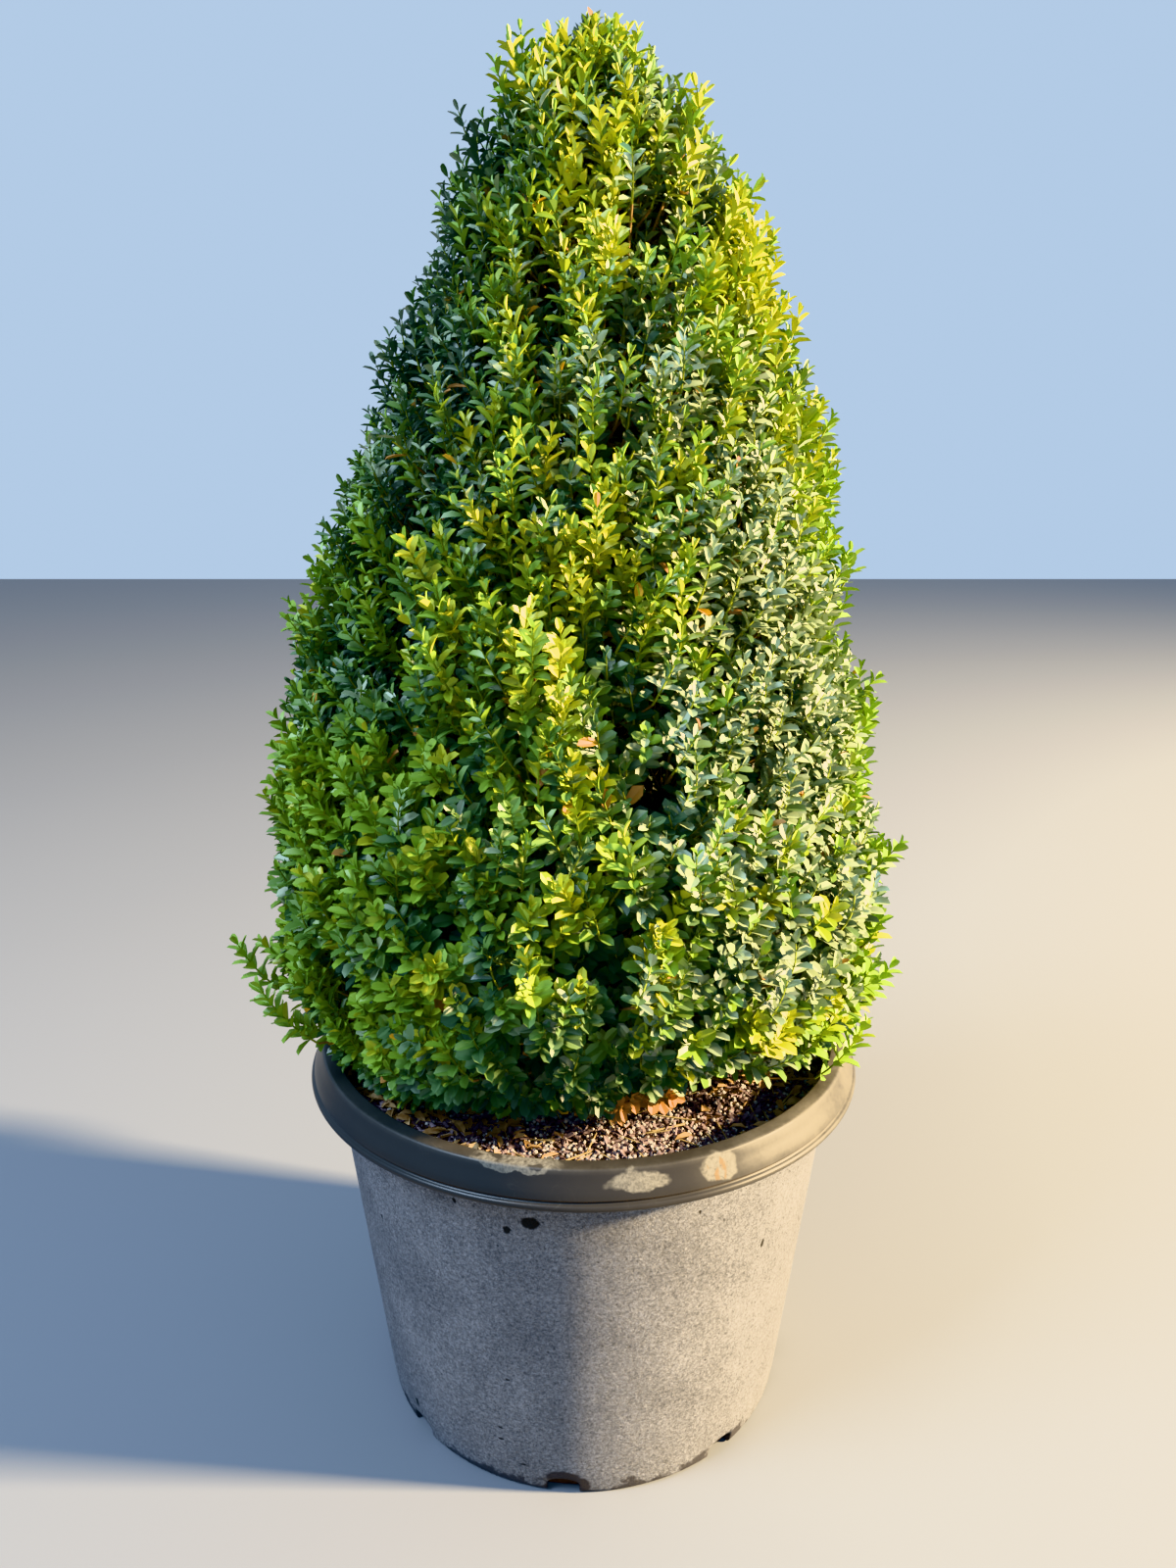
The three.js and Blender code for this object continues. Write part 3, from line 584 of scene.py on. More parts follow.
def leafMesh(name, width, cup, rows):
    # rows of left edge, midrib and right edge between the stalk and the blunt tip
    outline = {2: [(0.28, 0.36), (0.74, 0.48)], 3: [(0.20, 0.30), (0.56, 0.50), (0.88, 0.38)]}[rows]
    droop = -cup * 0.16
    vertices = [(0, 0, 0)]
    for t, share in outline:
        half, sag = share * width, droop * t * t
        edge = half * cup * 0.5 + sag
        vertices += [(-half, t, edge), (0, t, sag), (half, t, edge)]
    vertices.append((0, 1, droop))
    faces = [[0, 2, 1], [0, 3, 2]]
    last, tip = 3 * rows - 2, 3 * rows + 1
    for a in range(1, last, 3):
        faces += [[a, a + 1, a + 4, a + 3], [a + 1, a + 2, a + 5, a + 4]]
    faces += [[last, last + 1, tip], [last + 1, last + 2, tip]]
    blade = meshFrom(name, vertices, faces)
    # a crisp fold along the midrib parts the lit half from the shaded half
    for edge in blade.edges:
        edge.use_edge_sharp = all(abs(vertices[k][0]) < 1e-6 for k in edge.vertices)
    return blade


makeRootBall()

# trunk and boughs: the source's lines, with the bark's relief

limbs = {
    "flareRadius": 0.033, "radius": 0.021, "tipRadius": 0.0055, "flareHeight": 0.062, "tipHeight": 1.276,
    "lean": 0.014, "taper": 0.8, "boughRadius": 0.0115, "boughTip": 0.0075, "boughRoot": 0.004,
    "fork": 0.474, "forkStep": 0.018, "knee": 0.048, "upper": 0.118, "crook": 4, "boughTop": 0.705,
    "stemReach": 0.016, "gap": 0.0003, "trunkSteps": 170, "boughSteps": 60, "trunkSides": 28,
    "boughSides": 18, "trunkRelief": 0.07, "boughRelief": 0.08, "swelling": 0.12,
}
wedges = {"count": 6, "first": 12, "coneFoot": 1.292, "coneSlope": 0.85, "hollow": 0.4, "inset": 0.048}
crown = {
    "tip": 1.508, "wideHeight": 0.680, "wideRadius": 0.352, "shoulder": 1.15, "round": 0.51,
    "foot": 0.440, "footFront": 0.160, "footBack": 0.190, "footSides": 0.080, "frontAzimuth": 12,
    "tuckFront": 1.6, "tuckSides": 1.0, "sway": 0.015, "swayFoot": 0.550, "swayLength": 0.520,
    "lump": 0.012, "lumpLength": 0.062,
}


def crownRadius(z, inset=0.0, azimuth=90.0):
    # outer radius of the clipped crown at a height, shrunk towards the axis by an inset; tucked in over the
    # soil, most of all in front
    top, wide = crown["tip"] - inset, crown["wideRadius"] - inset
    if z >= top:
        return 0.0
    if z >= crown["wideHeight"]:
        t = (z - crown["wideHeight"]) / (top - crown["wideHeight"])
        return wide * (1 - t ** crown["shoulder"]) ** crown["round"]
    turn = math.radians(azimuth - crown["frontAzimuth"])
    foot = lerp(crown["footFront"], crown["footBack"], (1 - math.cos(turn)) / 2)
    foot += crown["footSides"] * math.sin(turn) ** 2 - inset * 0.5
    tuck = crown["tuckFront"] + crown["tuckSides"] * math.sin(turn) ** 2
    s = min(1, (crown["wideHeight"] - z) / (crown["wideHeight"] - crown["foot"]))
    return foot + (wide - foot) * (1 - s ** tuck) ** (1 / tuck)


def onCrown(radius, azimuth, z):
    # the crown sways a little to one side above its middle
    sway = -crown["sway"] * math.sin(math.pi * max(0, z - crown["swayFoot"]) / crown["swayLength"])
    return around(radius, azimuth, z) + Vector((sway, 0, 0))


def lumpAt(azimuth, z):
    a, rise = math.radians(azimuth), z / crown["lumpLength"]
    waves = math.sin(5 * a + rise) + math.sin(8 * a - 1.7 * rise + 1) + math.sin(3 * a + 2.6 * rise)
    return crown["lump"] * waves / 3


def curvePoints(controls, steps):
    # a smooth line through its control points
    pts = [controls[0] * 2 - controls[1], *controls, controls[-1] * 2 - controls[-2]]
    line = []
    spans = len(controls) - 1
    for i in range(steps + 1):
        at = i / steps * spans
        k = min(int(at), spans - 1)
        t = at - k
        a, b, c, d = pts[k:k + 4]
        line.append((b * 2 + (c - a) * t + (a * 2 - b * 5 + c * 4 - d) * t * t
                     + (b * 3 - a - c * 3 + d) * t ** 3) / 2)
    return line


def trunkControls():
    # each bend by its shares of the lean and its height
    bends = [(0, 0, mix["crown"] + limbs["gap"]), (0.2, 0.1, 0.56), (1, 0.4, 0.85), (0.4, -0.3, 1.1),
             (0.6, 0, limbs["tipHeight"])]
    return [Vector((limbs["lean"] * x, limbs["lean"] * y, z)) for x, y, z in bends]


def boughControls(index):
    azimuth = wedges["first"] + index * 360 / wedges["count"]
    z = limbs["fork"] + limbs["forkStep"] * ((index * 2) % wedges["count"])
    reach = crownRadius(limbs["boughTop"], wedges["inset"]) * wedges["hollow"] - limbs["stemReach"]
    return [around(limbs["boughRoot"], azimuth, z),
            around(reach * 0.45, azimuth - limbs["crook"], z + limbs["knee"]),
            around(reach * 0.8, azimuth + limbs["crook"], z + limbs["upper"]),
            onCrown(reach, azimuth, limbs["boughTop"])]


def barkTube(name, line, radiusAt, sides, relief):
    # a limb with fissures that run along it and a few swellings where twigs were lost
    rows = []
    last = len(line) - 1
    side = Vector((1, 0, 0))
    for i, at in enumerate(line):
        along = (line[min(i + 1, last)] - line[max(i - 1, 0)]).normalized()
        side = (side - along * side.dot(along)).normalized()
        over = along.cross(side)
        rows.append([])
        for k in range(sides):
            turn = 2 * math.pi * k / sides
            x, y = math.cos(turn), math.sin(turn)
            out = side * x + over * y
            crack = noise.fractal(Vector((x * 3, y * 3, at.z * 26)), 0.8, 2.2, 3)
            swell = max(0, noise.noise(at * 34 + out * 0.4)) * limbs["swelling"]
            rows[-1].append(at + out * radiusAt(i / last) * (1 + crack * relief + swell))
    return skin(name, rows, capped=True)


def corkyBark():
    # boxwood bark: pale grey-brown cork broken into small plates, darker in the fissures
    material, shader, add = startMaterial(
        "corky boxwood bark", {"Roughness": 0.9, "Specular IOR Level": 0.2})
    drawn = add("Mapping", {"Vector": add("TexCoord", out="Object"), "Scale": (1.0, 1.0, 0.3)})
    plates = add("TexVoronoi", {"Vector": drawn, "Scale": 260.0}, feature="DISTANCE_TO_EDGE")
    cork = twoTones(add, drawn, 90.0, 5.0, 0.5, 0.35, 0.68, "#6B5B45", "#A8977A")[1]
    crack = add("MapRange", [plates, 0.0, 0.08, 0.35, 1.0])
    fissured = add("Mix", {0: 1.0, 6: cork, 7: crack}, blend_type="MULTIPLY", **colours)
    fill(shader, {"Base Color": fissured,
                  "Normal": add("Bump", {"Height": crack, "Strength": 0.6, "Distance": 0.001})})
    return material


def trunkRadius(share):
    length = limbs["tipHeight"] - mix["crown"]
    flare = max(0, 1 - share * length / limbs["flareHeight"]) ** 2
    return (lerp(limbs["radius"], limbs["tipRadius"], share ** limbs["taper"])
            + (limbs["flareRadius"] - limbs["radius"]) * flare)


def boughRadius(share):
    return lerp(limbs["boughRadius"], limbs["boughTip"], share)


def makeLimbs(bark):
    plans = [("trunk", "trunkBark", "trunk", trunkControls(), trunkRadius)]
    plans += [("bough", f"boughBark{i + 1}", f"bough_{i + 1}", boughControls(i), boughRadius)
              for i in range(wedges["count"])]
    for kind, name, node, controls, radiusAt in plans:
        line = curvePoints(controls, limbs[kind + "Steps"])
        limb = newObject(name, barkTube(name, line, radiusAt, limbs[kind + "Sides"], limbs[kind + "Relief"]))
        limb.data.materials.append(bark)
        finishPiece(limb, "bark", node)
    print("trunk and boughs made")


# the crown's growth: laterals, twigs and leafy shoots, by the source's rule

growth = {
    "seed": 20, "internode": 0.0082, "newLeaf": 0.0218, "oldLeaf": 0.0194, "wander": 0.24, "uneven": 6.0,
    "leafReach": 0.017, "lean": 0.38, "rootLean": 0.60, "footLean": 2.4, "looseLean": 0.25,
    "clearSoil": 0.003, "twig": 0.0011, "lateral": 0.0032, "stem": 0.0065, "footLeaf": 1.04,
    "topLeaf": 0.93, "innerLeaf": 1.16, "bareSoil": 0.036, "escaped": 0.07, "furthest": 0.350,
    "columnWidth": 0.044, "columnHeight": 0.100, "columnBulge": 0.021, "gap": -0.34, "narrowTop": 0.16,
    "evenFoot": 0.45, "layerTurn": 40, "escape": (0.008, 0.018), "bonus": 0.08,
    "strayLength": (0.075, 0.090), "stemHeights": (0.82, 0.95, 1.08, 1.2, 1.3), "zigzag": 6,
    "mostLeaves": 11000,
}
# how leaves stand: angles in degrees from the shoot's foot to its tip, the tip pair's own, shares of size
habit = {
    "spread": (62, 34), "uneven": 6, "oldSpread": 10, "tipSpread": (12, 24), "tipSize": (0.75, 0.95),
    "tipWidth": 0.85, "width": (0.84, 1.04), "footWidth": 1.10, "twist": 0.12, "sizes": (0.88, 1.1),
    "missing": 0.02,
}
# dark clefts between the boughs, by azimuth, lowest and highest point and half their width in degrees
clefts = [(6, 0.56, 0.74, 4), (-12, 1.20, 1.32, 7), (6, 1.10, 1.22, 4), (-42, 0.90, 1.10, 6),
          (150, 0.7, 1.0, 7), (230, 0.9, 1.2, 8)]
# layers of shoots from the clipped face inwards: how many, how deep their tips are, how long they are, age
layers = [(3450, (-0.004, 0.018), (0.046, 0.080), 0.0), (2900, (0.020, 0.075), (0.034, 0.056), 0.5),
          (1100, (0.075, 0.160), (0.040, 0.060), 1.2)]
# sprigs that the shears missed, by azimuth, height, reach and how fresh they are
strayShoots = [(286, 0.592, 0.385, 0.9), (286, 0.545, 0.348, 1.2), (74, 0.702, 0.360, 0.3),
               (74, 0.560, 0.350, 0.2), (282, 1.420, 0.136, -0.5), (78, 1.436, 0.106, 0.4),
               (76, 1.352, 0.158, 0.3), (80, 1.494, 0.034, 0.5), (275, 1.494, 0.030, 0.4),
               (262, 1.486, 0.080, 0.4), (282, 1.492, 0.070, 0.5), (0, 1.478, 0.040, 0.4),
               (180, 1.482, 0.044, 0.3), (300, 1.474, 0.090, 0.4)]
# each of them has two more beside it: turned by, set back by, lower by
strayTuft = [(0, 0, 0), (0.012 * 900, 0.012, 0.022), (-0.014 * 900, 0.014, 0.034)]
deadSprig = {"azimuth": 17, "z": 0.472, "reach": 0.228, "bonus": -9, "sides": (-7, -4, -1, 2, 5, 8),
             "length": (0.030, 0.042)}
# leaf tones: nine from the newest growth to the oldest, the sixth and eighth being pale grey-blue copies of
# two greens that paint sheen, turning and dead leaves, and a greener copy of the new leaves that paints shade
# on the shaded sides; colour, roughness, gloss
tones = {
    "flushBright": ("#BABF48", 0.38, 0.4), "flushSoft": ("#ABB242", 0.38, 0.4),
    "freshLime": ("#97AA40", 0.38, 0.4), "freshGreen": ("#7C9B40", 0.38, 0.45),
    "matureGreen": ("#6C8B48", 0.42, 0.6), "matureBlue": ("#96A784", 0.50, 0.9),
    "deepGreen": ("#5B754E", 0.42, 0.6), "deepBlue": ("#6C7E6A", 0.48, 0.9),
    "shadeGreen": ("#40553F", 0.38, 0.5), "turningYellow": ("#D2A23A", 0.42, 0.4),
    "deadTan": ("#B08450", 0.6, 0.3), "coolLime": ("#8AAA48", 0.38, 0.4),
}
# how new the first eight tones are at least
newest = (0.62, 0.42, 0.26, 0.10, -0.06, -0.22, -0.42, -0.70)
# painted light: the pale sheen tones give way to plain greens away from the sun and the top, the newest tones
# give way to a greener copy that paints shade on the shaded sides, and old greens turn to the pale sheen tone
# where the sun grazes the face
plainTwin = {"matureBlue": "matureGreen", "deepBlue": "deepGreen"}
shadedSideTwin = dict.fromkeys(("flushBright", "flushSoft", "freshLime"), "coolLime")
grazingSheenTwin = dict.fromkeys(("matureGreen", "deepGreen", "deepBlue"), "matureBlue")
# where the shoots are newer or older than the rest: change, azimuth, half width, height, half height; the
# first makes them older where the sun grazes the right face, so that the pale tones of painted sheen fall
# there
patches = [(-0.58, 44, 36, 0.92, 0.38), (0.14, -34, 30, 0.60, 0.13), (-0.06, -34, 30, 0.86, 0.20),
           (0.16, 28, 32, 1.24, 0.20), (-0.14, 34, 30, 0.58, 0.12)]
# blades by width, cup and rows: three for the outer shoots, two plainer ones for the inner shoots
bladeForms = {"blade0Cupped": (0.52, 1.2, 3), "blade1Broad": (0.56, 0.8, 3), "blade2Narrow": (0.46, 1.0, 3),
              "blade3Old": (0.54, 0.8, 2), "blade4Old": (0.48, 0.5, 2)}
leafValues = {"turn": "FLOAT_VECTOR", "size": "FLOAT_VECTOR", "form": "INT"}


def outlineNormal(z, azimuth):
    rise = 0.004
    change = (crownRadius(z + rise, 0, azimuth) - crownRadius(z - rise, 0, azimuth)) / (2 * rise)
    return Vector((1, -change)).normalized()


def evenHeights(count):
    # heights that share the crown's surface evenly
    low, high, bands = crown["foot"] + 0.004, crown["tip"] - 0.006, 300
    heights = [lerp(low, high, (i + 0.5) / bands) for i in range(bands)]
    areas = np.cumsum([crownRadius(z) / max(outlineNormal(z, 90).x, 0.05) for z in heights])
    return np.interp((np.arange(count) + 0.5) / count * areas[-1], areas, heights)


def massIndexOf(point):
    if point.z - wedges["coneFoot"] - math.hypot(point.x, point.y) * wedges["coneSlope"] > 0:
        return wedges["count"]
    turn = (azimuthOf(point) - wedges["first"] + 180 / wedges["count"] + 720) % 360
    return int(turn // (360 / wedges["count"]))


def clearOfPot(point, dead=False):
    # above the rim or the soil; the soil lies bare in front on the right, but for the dead sprig
    if math.hypot(point.x, point.y) > pot["rimInnerRadius"] - 0.008:
        return point.z > pot["height"] + growth["clearSoil"]
    bare = 0 if dead else growth["bareSoil"] * shareAt(azimuthOf(point), 40, 40)
    return point.z > mix["crown"] - 0.004 + growth["clearSoil"] + bare


def columnAt(point):
    # the face is broken into upright fingers of growth; above 0 they bulge, below 0 they leave a dark gap
    x, y = point.x / growth["columnWidth"], point.y / growth["columnWidth"]
    z = point.z / growth["columnHeight"]
    finger = noise.noise(Vector((x, y, z)))
    tuft = noise.noise(Vector((x * 2.4 + 5, y * 2.4, z * 2.8)))
    cleft = max([shareAt(azimuthOf(point), azimuth, spread)
                 for azimuth, low, high, spread in clefts if low < point.z < high], default=0)
    # the sunny flank is clipped evenly, the cool flank nearly so
    even = max(0.85 * patchAt(point, 44, 36, 0.92, 0.40), 0.50 * patchAt(point, -52, 45, 0.84, 0.30))
    return (1.2 * finger + 0.75 * tuft) * (1 - even) - cleft


def planShoot(rng, azimuth, z, depth, lengths, reach=None):
    # one shoot from its root to its tip: it leaves its twig outwards and bends up to the light; one that the
    # shears missed has a reach of its own
    normal = outlineNormal(z, azimuth)
    outward = around(1, azimuth, 0)
    radius = crownRadius(z, 0, azimuth) + lumpAt(azimuth, z) - growth["leafReach"] if reach is None else reach
    face = onCrown(radius, azimuth, z)
    column = columnAt(face)
    if reach is None:
        bulge = column * growth["columnBulge"] * min(1, radius / growth["narrowTop"])
        bulge *= min(1, max(0.1, (z - crown["foot"]) / growth["evenFoot"]))
        face -= outward * min(depth - bulge, radius * 0.9)
        face -= outward * max(0, math.hypot(face.x, face.y) - growth["furthest"])
    loose = 1 - riseAt(z)
    wander = Vector((rng.gauss(0, 1), rng.gauss(0, 1), rng.gauss(0, 0.5)))
    wander = wander * growth["wander"] * (1 + loose * 0.6)
    lean = growth["lean"] + growth["footLean"] * max(0, -normal.y) ** 2 + loose * growth["looseLean"]
    atTip = (outward * lean + up + wander).normalized()
    atRoot = (outward * (lean + growth["rootLean"]) + up + wander * 0.5).normalized()
    length = rng.uniform(*lengths)
    steps = 5
    line = [face]
    for i in range(steps):
        line.append(line[-1] - atTip.lerp(atRoot, (i + 0.5) / steps).normalized() * length / steps)
    line.reverse()
    return {"line": line, "length": length, "outward": outward, "column": column}


def pointOn(line, share):
    at = clamp(share) * (len(line) - 1)
    k = min(int(at), len(line) - 2)
    return line[k].lerp(line[k + 1], at - k), (line[k + 1] - line[k]).normalized()


def riseAt(z):
    # 0 in the loose growth near the foot, 1 in the tight upright growth above
    return clamp((z - 0.60) / 0.5)


def vigourAt(shoot):
    # where the new growth flushes: on the fingers that stand out and in patches a hand wide; painted light
    # makes it newer and brighter towards the sun and holds it back at the right back, which faces the lamp
    # square on, and painted shade makes it older and darker on the shaded upper left flank and at the foot
    tip = shoot["line"][-1]
    azimuth, z = azimuthOf(tip), tip.z
    fingers = lerp(0.32, 0.40, riseAt(z)) * shoot["column"]
    flecks = 0.5 * noise.noise(tip * 6.5) + 0.5 * noise.noise(tip * 19)
    leftward = -tip.x / max(0.05, crownRadius(z))
    # painted shade: older, darker tones on the shaded upper left flank and low down, most of all in front
    shadedFlank = 0.60 * clamp((leftward - 0.12) / 0.5) * clamp((z - 0.97) / 0.20) * clamp((1.48 - z) / 0.06)
    footShade = (0.14 + 0.40 * shareAt(azimuth, 4, 40)) * clamp((0.80 - z) / 0.3)
    footShade += 0.45 * clamp((0.57 - z) / 0.07)
    # painted light: newer, brighter tones towards the sun, held back on the right back flank that faces the
    # lamp square on
    paintedSunSide = 0.24 * clamp(tip.x / 0.2) - 0.60 * shareAt(azimuth, 122, 48)
    local = sum(change * patchAt(tip, *place) for change, *place in patches)
    return fingers + flecks + paintedSunSide + local - shadedFlank - footShade + shoot["bonus"]


def growCrown():
    rng = random.Random(growth["seed"])
    leaves = {name: [] for name in tones}
    twigs, shoots = [], []
    for number, (count, depths, lengths, age) in enumerate(layers):
        for k, z in enumerate(evenHeights(count)):
            azimuth = k * goldenAngle + rng.uniform(-1, 1) * growth["uneven"] + number * growth["layerTurn"]
            depth = rng.uniform(*depths)
            if number == 0 and rng.random() < growth["escaped"]:
                depth -= rng.uniform(*growth["escape"])
            shoot = planShoot(rng, azimuth, z + rng.uniform(-0.008, 0.008), depth, lengths)
            if number == 0 and shoot["column"] < growth["gap"]:
                continue
            shoots.append(shoot | {"age": age, "bonus": growth["bonus"]})
    for azimuth, z, reach, bonus in strayShoots:
        for turn, back, down in strayTuft:
            shoot = planShoot(rng, azimuth + turn, z - down, 0, growth["strayLength"], reach - back)
            shoots.append(shoot | {"age": 0.0, "bonus": bonus})
    for side in deadSprig["sides"]:
        shoot = planShoot(rng, deadSprig["azimuth"] + side, deadSprig["z"] + rng.uniform(-0.008, 0.010), 0,
                          deadSprig["length"], deadSprig["reach"])
        shoots.append(shoot | {"age": 0.0, "bonus": deadSprig["bonus"]})
    for shoot in shoots:
        leafShoot(rng, shoot, leaves, twigs)
    return leaves, twigs, shoots


def taper(thick, thin, line):
    return [lerp(thick, thin, i / (len(line) - 1)) for i in range(len(line))]


def leafShoot(rng, shoot, leaves, twigs):
    # opposite pairs up the shoot, each turned a quarter turn from the last, the youngest upright at its tip
    line, outward, age = shoot["line"], shoot["outward"], shoot["age"]
    root, tip = line[0], line[-1]
    dead = shoot["bonus"] == deadSprig["bonus"]
    if not clearOfPot(tip, dead) or not clearOfPot(root, dead):
        return
    rise = riseAt(tip.z)
    fresh = vigourAt(shoot) - age + rng.gauss(0, lerp(0.30, 0.16, rise))
    young = clamp(fresh * 1.6 + 0.5)
    inner = growth["innerLeaf"] if age else 1
    pairs = max(4, round(shoot["length"] / growth["internode"] / inner * (1.12 - 0.12 * young)))
    along = (tip - root).normalized()
    side = along.cross(outward if abs(along.dot(outward)) < 0.95 else up).normalized()
    quarter = rng.uniform(0, math.pi)
    # painted sheen: old leaves take pale grey-blue tones on the sunny side and high up, where sun and sky
    # shine on them, and paler still where the sun grazes the face
    sheenShare = max(0.15, shareAt(azimuthOf(tip), 50, 48), clamp((tip.z - 0.98) / 0.15))
    grazingSheen = patchAt(tip, 50, 48, 0.90, 0.42) * (1 - age * 0.8)
    # painted shade: away from the sunny front, which is wider high up, new leaves take a greener shaded copy
    # of their tone
    sunnyHalf = lerp(30, 60, clamp((tip.z - 1.0) / 0.15))
    shadedSide = 0.9 * clamp((turnFrom(azimuthOf(tip), 15) - sunnyHalf) / 20)
    grown = lerp(growth["footLeaf"], growth["topLeaf"], rise) * inner
    for pair in range(pairs):
        share = 0.1 + 0.9 * pair / (pairs - 1)
        at, heading = pointOn(line, share)
        spread = lerp(*habit["spread"], share) + rng.gauss(0, habit["uneven"])
        spread += (1 - young) * habit["oldSpread"]
        size = lerp(growth["oldLeaf"], growth["newLeaf"], young)
        size *= 0.78 + 0.3 * math.sin(math.pi * share ** 0.8)
        size *= grown
        width = rng.uniform(*habit["width"]) * grown * lerp(habit["footWidth"], 1.0, rise)
        if pair == pairs - 1:
            spread = rng.uniform(*habit["tipSpread"])
            size *= rng.uniform(*habit["tipSize"])
            width *= habit["tipWidth"]
        angle = math.radians(spread)
        for half in (0, math.pi):
            turn = quarter + pair * math.pi / 2 + half + rng.gauss(0, habit["twist"])
            away = Matrix.Rotation(turn, 3, heading) @ side
            direction = (heading * math.cos(angle) + away * math.sin(angle)).normalized()
            face = (heading - away * 0.4 + (outward * 0.25 + up * 0.15) * (1 - young * 0.6)).normalized()
            across = direction.cross(face).normalized()
            scale = size * rng.uniform(*habit["sizes"])
            if not clearOfPot(at + direction * scale, dead) or rng.random() < habit["missing"]:
                continue
            turned = Matrix((across, direction, across.cross(direction))).transposed().to_euler()
            form = rng.choice((0, 1, 2) if age < 0.3 else (3, 4))
            tone = toneOf(rng, fresh + lerp(-0.22, 0.16, share))
            draw = rng.random()
            if draw > sheenShare:
                tone = plainTwin.get(tone, tone)
            elif draw < grazingSheen:
                tone = grazingSheenTwin.get(tone, tone)
            if draw < shadedSide:
                tone = shadedSideTwin.get(tone, tone)
            leaves[tone].append((at, tuple(turned), (scale * width, scale, scale), form))
    # the deeper a shoot, the fewer bends its stem keeps
    step = 1 if age < 0.3 else 2 if age < 1 else 5
    stalk = line[::step] + line[-1:] * (step == 2)
    twigs.append((stalk, taper(growth["twig"] * 1.25, growth["twig"] * 0.6, stalk)))


def toneOf(rng, newness):
    if rng.random() < (0.006 if newness < 0.2 else 0.001):
        return rng.choice(("deadTan", "turningYellow"))
    if newness < deadSprig["bonus"] + 1:
        return "deadTan"
    drift = rng.gauss(0, 0.08)
    for name, limit in zip(tones, newest):
        if newness + drift > limit:
            return name
    return "shadeGreen"


def leafTree():
    # sets one blade on each point, turned and sized by the point's own values
    start, add = startTree("leafOut", {"Points": "Geometry", "Blades": "Collection", "Material": "Material"})
    turn, size, form = (add("GeometryNodeInputNamedAttribute", {"Name": name}, data_type=kind)
                        for name, kind in leafValues.items())
    blades = add("GeometryNodeCollectionInfo", {"Collection": start["Blades"]} | eachShape)
    placed = add("GeometryNodeInstanceOnPoints",
                 {"Points": start["Points"], "Instance": blades, "Pick Instance": True,
                  "Instance Index": form, "Rotation": add("FunctionNodeEulerToRotation", [turn]),
                  "Scale": size})
    return endTree(add, placed, start["Material"])


def twigTree():
    # gives each line of points its thickness
    start, add = startTree("thickenTwigs", {"Lines": "Geometry", "Sides": "Int", "Material": "Material"})
    thick = add("GeometryNodeInputNamedAttribute", {"Name": "thick"}, data_type="FLOAT")
    ring = add("GeometryNodeCurvePrimitiveCircle", {"Resolution": start["Sides"], "Radius": 1.0})
    curves = add("GeometryNodeMeshToCurve", [start["Lines"]])
    tubes = add("GeometryNodeCurveToMesh",
                {"Curve": curves, "Profile Curve": ring, "Scale": thick, "Fill Caps": True})
    return endTree(add, tubes, start["Material"])


def pointMesh(name, points, edges, kinds, *values):
    # points, loose or in chains of edges, that carry values for Geometry Nodes to read
    mesh = bpy.data.meshes.new(name)
    mesh.from_pydata([tuple(p) for p in points], edges, [])
    for (key, kind), numbers in zip(kinds.items(), values):
        field, form = ("vector" if "VECTOR" in kind else "value"), (np.int32 if kind == "INT" else np.float32)
        mesh.attributes.new(key, kind, "POINT").data.foreach_set(field, np.array(numbers, form).ravel())
    return newObject(name, mesh)


def lineMesh(name, lines):
    points, edges, thick = [], [], []
    for line, radii in lines:
        start = len(points)
        edges += [(start + i, start + i + 1) for i in range(len(line) - 1)]
        points += line
        thick += radii
    return pointMesh(name, points, edges, {"thick": "FLOAT"}, thick)


def stemOf(index):
    # a side mass's stem goes on from its bough and zigzags up the mass, the tip's one from the trunk
    if index == wedges["count"]:
        foot = trunkControls()[-1] + up * limbs["gap"]
        return curvePoints([foot, foot + Vector((0.004, 0.003, 0.08)), foot + Vector((0, 0, 0.17))], 8)
    centre = wedges["first"] + index * 360 / wedges["count"]
    before, foot = boughControls(index)[-2:]
    foot += (foot - before).normalized() * limbs["gap"]
    tops = [onCrown(crownRadius(z) * 0.5, centre + growth["zigzag"] * (1 if i % 2 else -1), z)
            for i, z in enumerate(growth["stemHeights"])]
    return curvePoints([foot, *tops], 20)


def branchWork(shoots):
    # each mass's stem, its laterals, and a twig from the nearest lateral to each shoot's root
    rng = random.Random(growth["seed"] + 1)
    twig = growth["twig"]
    heavy, fine = [], []
    for index in range(wedges["count"] + 1):
        stem = stemOf(index)
        heavy.append((stem, taper(growth["stem"], twig * 1.6, stem)))
        # laterals reach out to groups of shoots
        groups = {}
        for root, *_, tip in (shoot["line"] for shoot in shoots):
            if massIndexOf(tip) == index:
                groups.setdefault((int(root.z / 0.07), int(azimuthOf(root) // 15)), []).append(root)
        for roots in groups.values():
            middle = sum(roots, Vector()) / len(roots)
            inner = Vector((middle.x * 0.82, middle.y * 0.82, middle.z - 0.03))
            start = min(stem, key=lambda p: (p - inner).length + max(0, p.z - inner.z) * 2)
            bend = start.lerp(inner, 0.5) - up * 0.02 * rng.uniform(0, 1)
            lateral = curvePoints([start, bend, inner], 6)
            heavy.append((lateral, taper(growth["lateral"], twig * 1.5, lateral)))
            for root in roots:
                base = min(lateral[2:], key=lambda p: (p - root).length)
                knee = base.lerp(root, 0.5) + Vector((rng.uniform(-1, 1), rng.uniform(-1, 1), -1)) * 0.006
                fine.append(([base, knee, root], [twig * 1.4, twig * 1.3, twig * 1.25]))
    return heavy, fine


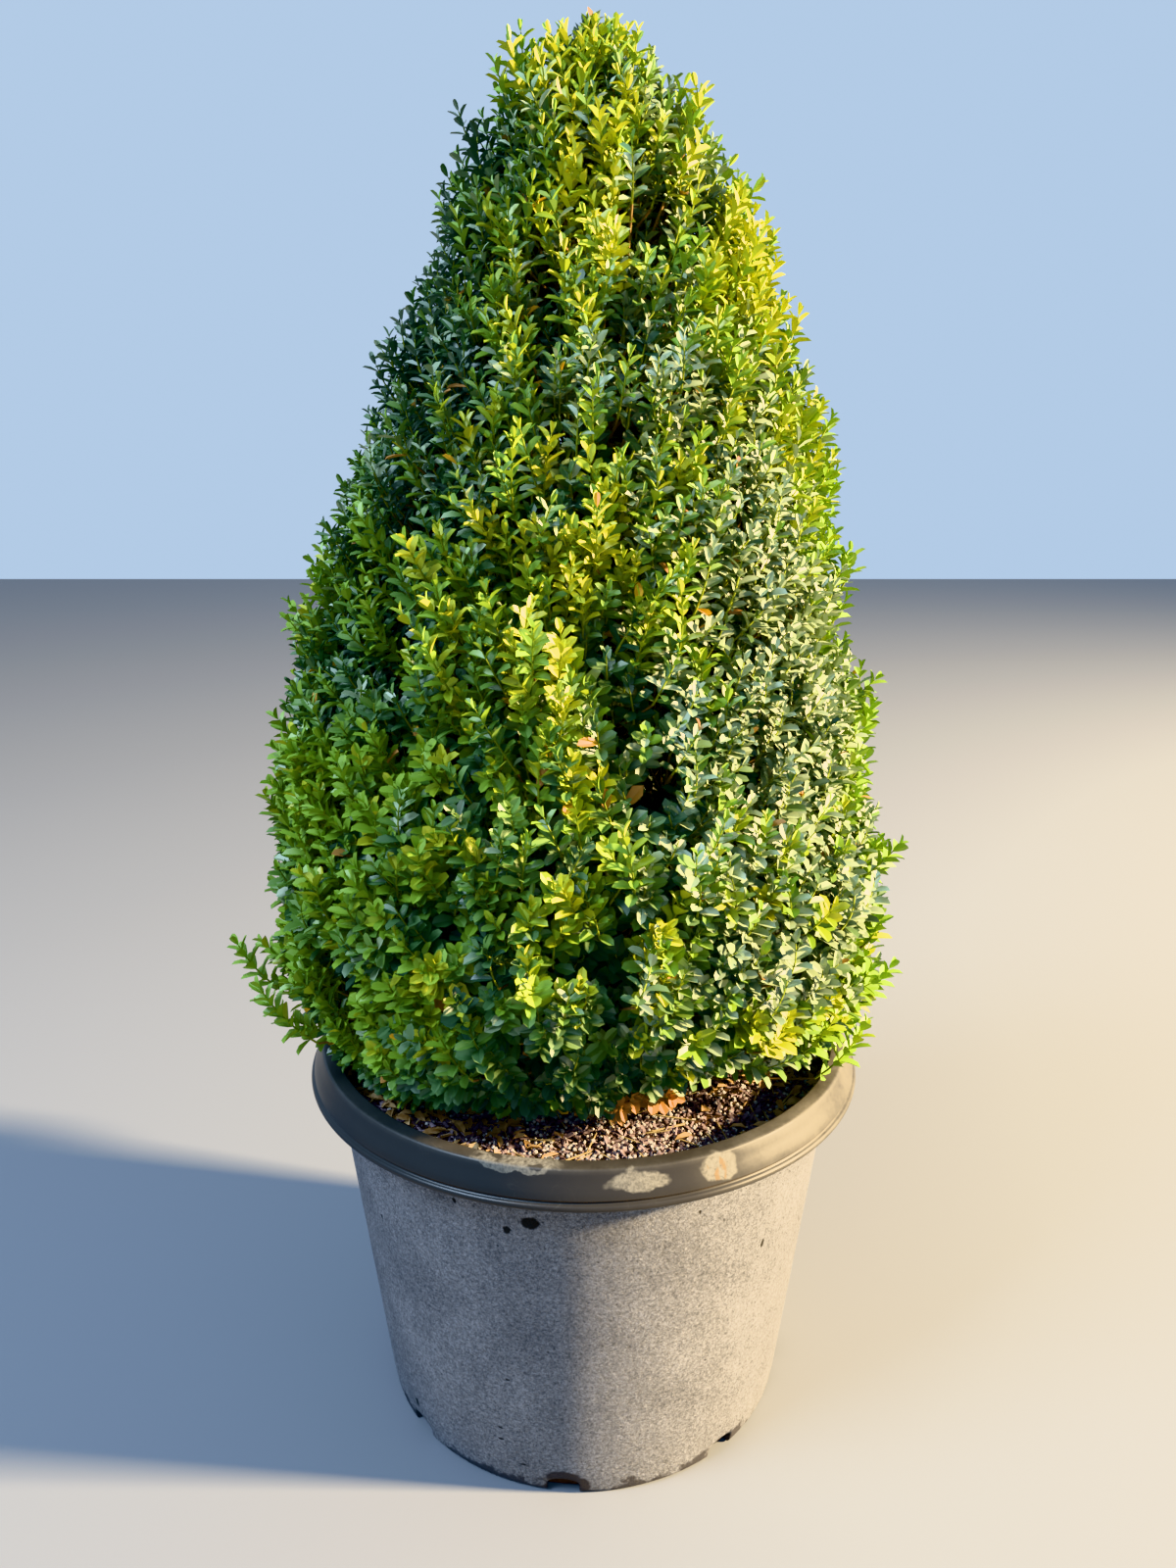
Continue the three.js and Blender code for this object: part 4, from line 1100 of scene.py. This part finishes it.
def makeCrown(bark):
    leaves, twigs, shoots = growCrown()
    counts = {name: len(entries) for name, entries in leaves.items()}
    print("leaves", counts, "in all", sum(counts.values()))
    blades = shapeCollection("blades", [leafMesh(name, *form) for name, form in bladeForms.items()])
    tree = leafTree()
    for name, (colour, rough, gloss) in tones.items():
        # leathery evergreen leaf: a waxy skin that shines more with age, over one green for each age of
        # spray, with pale copies that paint sheen and a greener copy that paints shade
        skinTone = {"Base Color": linear(colour), "Roughness": rough, "Specular IOR Level": gloss}
        inputs = {"Blades": blades, "Material": startMaterial("waxy leaf " + name, skinTone)[0]}
        parts = math.ceil(counts[name] / growth["mostLeaves"])
        for part in range(parts):
            title = "leaves" + name[0].upper() + name[1:] + (str(part + 1) if parts > 1 else "")
            places, *values = zip(*leaves[name][part::parts])
            piece = realized(pointMesh(title, places, [], leafValues, *values), tree, inputs, title)
            finishPiece(piece, "foliage", *foliageNodes)
    heavy, fine = branchWork(shoots)
    tree = twigTree()
    # young twigs: smooth green skin that turns to straw-brown cork as it ages
    green = mottled("green twig skin", "#8C9A3C", "#6E7A2C", 120.0, 0.5, 0.3, 0.0, 1.0)
    straw = mottled("straw-brown twig cork", "#8A7048", "#5F4C33", 120.0, 0.75, 0.3, 0.0, 1.0)
    for name, lines, sides, material in (("shootTwigs", twigs, 3, green), ("fineTwigs", fine, 3, straw),
                                         ("laterals", heavy, 5, bark)):
        piece = realized(lineMesh(name, lines), tree, {"Sides": sides, "Material": material}, name)
        finishPiece(piece, "bark", *foliageNodes)
        print(name, len(piece.data.polygons), "faces")


bark = corkyBark()
makeLimbs(bark)
makeCrown(bark)

# floor and light: each lamp by its power, size, colour and place

studio = {
    "floor": "#7B8088", "floorHalf": 12.0, "world": "#BFD7F2", "worldStrength": 0.95, "target": (0, 0, 0.75),
    "key": (4900.0, 0.70, "#FFDFAA", (7.62, -1.08, 3.41)), "fill": (205.0, 1.6, "#CBE3FF", (-2.4, -1.8, 3.8)),
}


def makeStudio():
    half = studio["floorHalf"]
    corners = [(-half, -half, 0), (half, -half, 0), (half, half, 0), (-half, half, 0)]
    floor = newObject("floor", meshFrom("floor", corners, [[0, 1, 2, 3]], False))
    floor.data.materials.append(startMaterial(
        "plain pale floor", {"Base Color": linear(studio["floor"]), "Roughness": 0.9})[0])
    world = bpy.data.worlds.new("studio")
    world.use_nodes = True
    fill(world.node_tree.nodes["Background"],
         {"Color": linear(studio["world"]), "Strength": studio["worldStrength"]})
    bpy.context.scene.world = world
    # keeps the leaves as vivid as in the photograph and rolls off the brightest ones
    bpy.context.scene.view_settings.view_transform = "Khronos PBR Neutral"
    for name in ("key", "fill"):
        power, size, colour, place = studio[name]
        data = bpy.data.lights.new(name, "AREA")
        data.energy, data.size, data.color = power, size, linear(colour)[:3]
        lamp = newObject(name, data)
        lamp.location = place
        lamp.rotation_euler = (Vector(studio["target"]) - Vector(place)).to_track_quat("-Z", "Y").to_euler()
    print("floor and lights made")


makeStudio()
